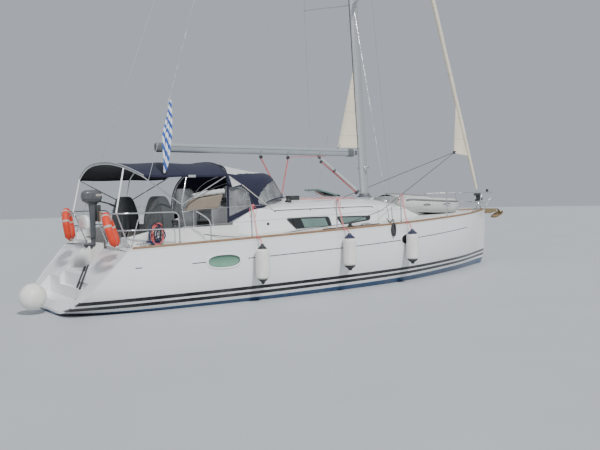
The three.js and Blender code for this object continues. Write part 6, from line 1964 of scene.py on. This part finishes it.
def make_deck_fittings():
    """The genoa's tracks, cars and sheets, a spare hank of line, and the cleats."""
    for name, side in SIDES:
        track = rail_path(side, 4.95, 6.50, 0.300, 0.010, 40)
        bar = sweep(outline(0.015, 0.009, 4, 12), track, up=(0, 0, 1))
        k = int(np.argmin(np.abs(track[:, 0] - 5.66)))
        car = track[k]
        blocks = block(car - [0.055, 0.028, 0.005], car + [0.055, 0.028, 0.030],
                       0.010) + pulley(car + [0, 0, 0.062], 0.040)
        lead = np.array([2.390, side * 1.350, float(deck_z(np.array(2.39), np.array(1.35))) + 0.10])
        blocks = blocks + pulley(lead, 0.038, "Z") + block(lead - [0.03, 0.03, 0.10],
                                                           lead + [0.03, 0.03, -0.02], 0.01)
        sheet = tube(np.vstack([curve([car + [0, 0, 0.075], (4.75, side * 1.545, 1.290),
                                       (3.80, side * 1.520, 1.215),
                                       (3.00, side * 1.450, 1.215), lead + [0, side * 0.035, 0]], 14),
                                [(1.965, side * 1.250, 1.480)]]), 0.0065, 10)
        bend = (6.860, side * 1.260, 1.568)
        rise = tube(np.vstack([straight(car + [0.01, 0, 0.09], bend, 12)[:-1],
                               straight(bend, (10.560, side * 0.02, 2.950), 50)]), 0.0072, 8)
        turns = total(tube(circle((1.900, side * 1.225, 1.417 + 0.085 + 0.013 * n), 0.060, "Z", 28), 0.0065,
                           8,
                           closed=True) for n in range(3))
        build(f"genoa_gear_{name}", [(bar + blocks, DARK), (sheet + rise + turns, BLACK_ROPE)])
        if side < 0:
            turn = np.linspace(0, 2 * np.pi, 30, endpoint=False)
            hank = total(tube(xyz(6.62 + (0.036 + 0.009 * n) * np.cos(turn), -1.915 + 0.014 * (n - 1),
                                  1.180 + 0.125 * np.sin(turn)), 0.015, 8, closed=True) for n in range(3))
            hank = hank + tube(curve([(6.98, -1.300, 1.400), (6.84, -1.560, 1.310), (6.66, -1.800, 1.375),
                                      (6.63, -1.900, 1.385), (6.62, -1.915, 1.290)], 10), 0.010, 8)
            build("spare_line_hank", [(hank, BLACK_ROPE)])
        cleats = []
        for x, inset in ((1.150, 0.15), (5.960, 0.13), (10.850, 0.12)):
            base = rail_path(side, x - 0.001, x, inset, 0.0, 2)[1]
            horns = curve([base + [-0.130, 0, 0.052], base + [-0.05, 0, 0.060], base + [0.05, 0, 0.060],
                           base + [0.130, 0, 0.052]])
            cleats.append(tube(horns, 0.010 + 0.004 * np.hanning(len(horns)), 12))
            cleats += [loft([(*(base + [dx, 0, -0.002]), 0.020, 0.018),
                             (*(base + [dx, 0, 0.020]), 0.012, 0.010),
                             (*(base + [dx, 0, 0.060]), 0.012, 0.010)], 2.4, 20) for dx in (-0.045, 0.045)]
        build(f"cleats_{name}", [(total(cleats), STEEL)])


def make_bow():
    """The anchor: a bent shank and a plough's two curved blades, stowed on the roller."""
    shank = sweep(outline(0.013, 0.026, 4, 16),
                  bent([(11.480, 0, 1.456), (12.310, 0, 1.425), (12.385, 0, 1.330)],
                                                     0.08, 10), np.linspace(0.85, 1.15, 13), up=(0, 1, 0))
    u = np.linspace(0, 1, 24)[:, None]
    v = np.linspace(-1, 1, 25)[None]
    ridge = along([(12.055, 1.200), (12.190, 1.190), (12.320, 1.235), (12.420, 1.345)], 3 * u[:, 0])
    half = 0.150 * np.sin(np.pi * np.clip(0.06 + 0.80 * u, 0, 1)) ** 0.9
    blade = xyz(ridge[:, :1] + 0 * v, half * v, ridge[:, 1:] + 0.42 * half * np.abs(v) ** 1.5)
    shackle = tube(circle((11.500, 0, 1.460), 0.022, "Y", 20), 0.006, 8, closed=True)
    build("anchor_forged", [(shank + thick(blade, 0.012), RUSTED), (shackle, STEEL)], replaces=["anchor"],
          crease=50)


make_hull()
make_hull_lights()
make_deck()
make_toe_rails()
make_coachroof()
make_windows()
make_mast()
make_boom()
make_vang()
make_mainsail()
make_genoa()
make_bimini()
make_sprayhood()
make_fenders()
make_dinghy()
make_pulpit()
make_pushpits()
make_guardrails()
make_helms()
make_backrest()
make_outboard()
make_horseshoes()
make_ensign()
make_stern()
make_mainsheet()
make_roof_fittings()
make_deck_fittings()
make_bow()
softened("cockpit", PLANKED, 0.020)
softened("transom_moulding", WHITE, 0.015)
softened("cockpit_table", TEAK, 0.012)
softened("washboard", WINDOW, 0.004)
softened("companionway_hatch", WINDOW, 0.008, "companionway_hatch")
softened("saloon_hatch", WINDOW, 0.008, "saloon_hatch")
softened("anchor_locker_lid", NON_SKID, 0.004, "anchor_locker_lid")
for side_name, _ in SIDES:
    softened(f"locker_lid_{side_name}", WHITE, 0.004, f"locker_lid_{side_name}")


# Frame nodes that keep their shape, and their finishes

KEPT = {
    "cabin_interior": JOINERY, "engine_block": ENGINE, "keel": ANTIFOULING, "rudder": ANTIFOULING,
    "saildrive": CASTING, "propeller": BRONZE, "backstays": STEEL, "bow_fitting": RUSTED,
    "shrouds_starboard": STEEL,
    "shrouds_port": STEEL,
}
for name, material in KEPT.items():
    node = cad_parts[name]
    node.data.materials.clear()
    node.data.materials.append(material)


# Floor

def make_floor():
    """A pale floor at the waterline: a disc 60 m in radius, faintly mottled."""
    finish = Finish("pale_floor", Roughness=0.55)
    noise = finish.add("ShaderNodeTexNoise", {"Scale": 0.6, "Detail": 3.0,
                                              "Vector": finish.add("ShaderNodeTexCoord").outputs["Object"]})
    finish.link(Base_Color=finish.mix(noise.outputs["Fac"], rgb(0.44, 0.46, 0.48), rgb(0.50, 0.52, 0.54)))
    ring = turned([(0, -0.02), (60, -0.02), (60, 0), (0, 0)], (MIDSHIPS, 0, 0), 96)
    mesh = bpy.data.meshes.new("floor")
    mesh.from_pydata((ring.vertices - [MIDSHIPS, 0, 0]).tolist(), [], ring.faces.tolist())
    tidy(mesh)
    mesh.materials.append(finish.material)
    floor = bpy.data.objects.new("floor", mesh)
    bpy.context.scene.collection.objects.link(floor)


make_floor()
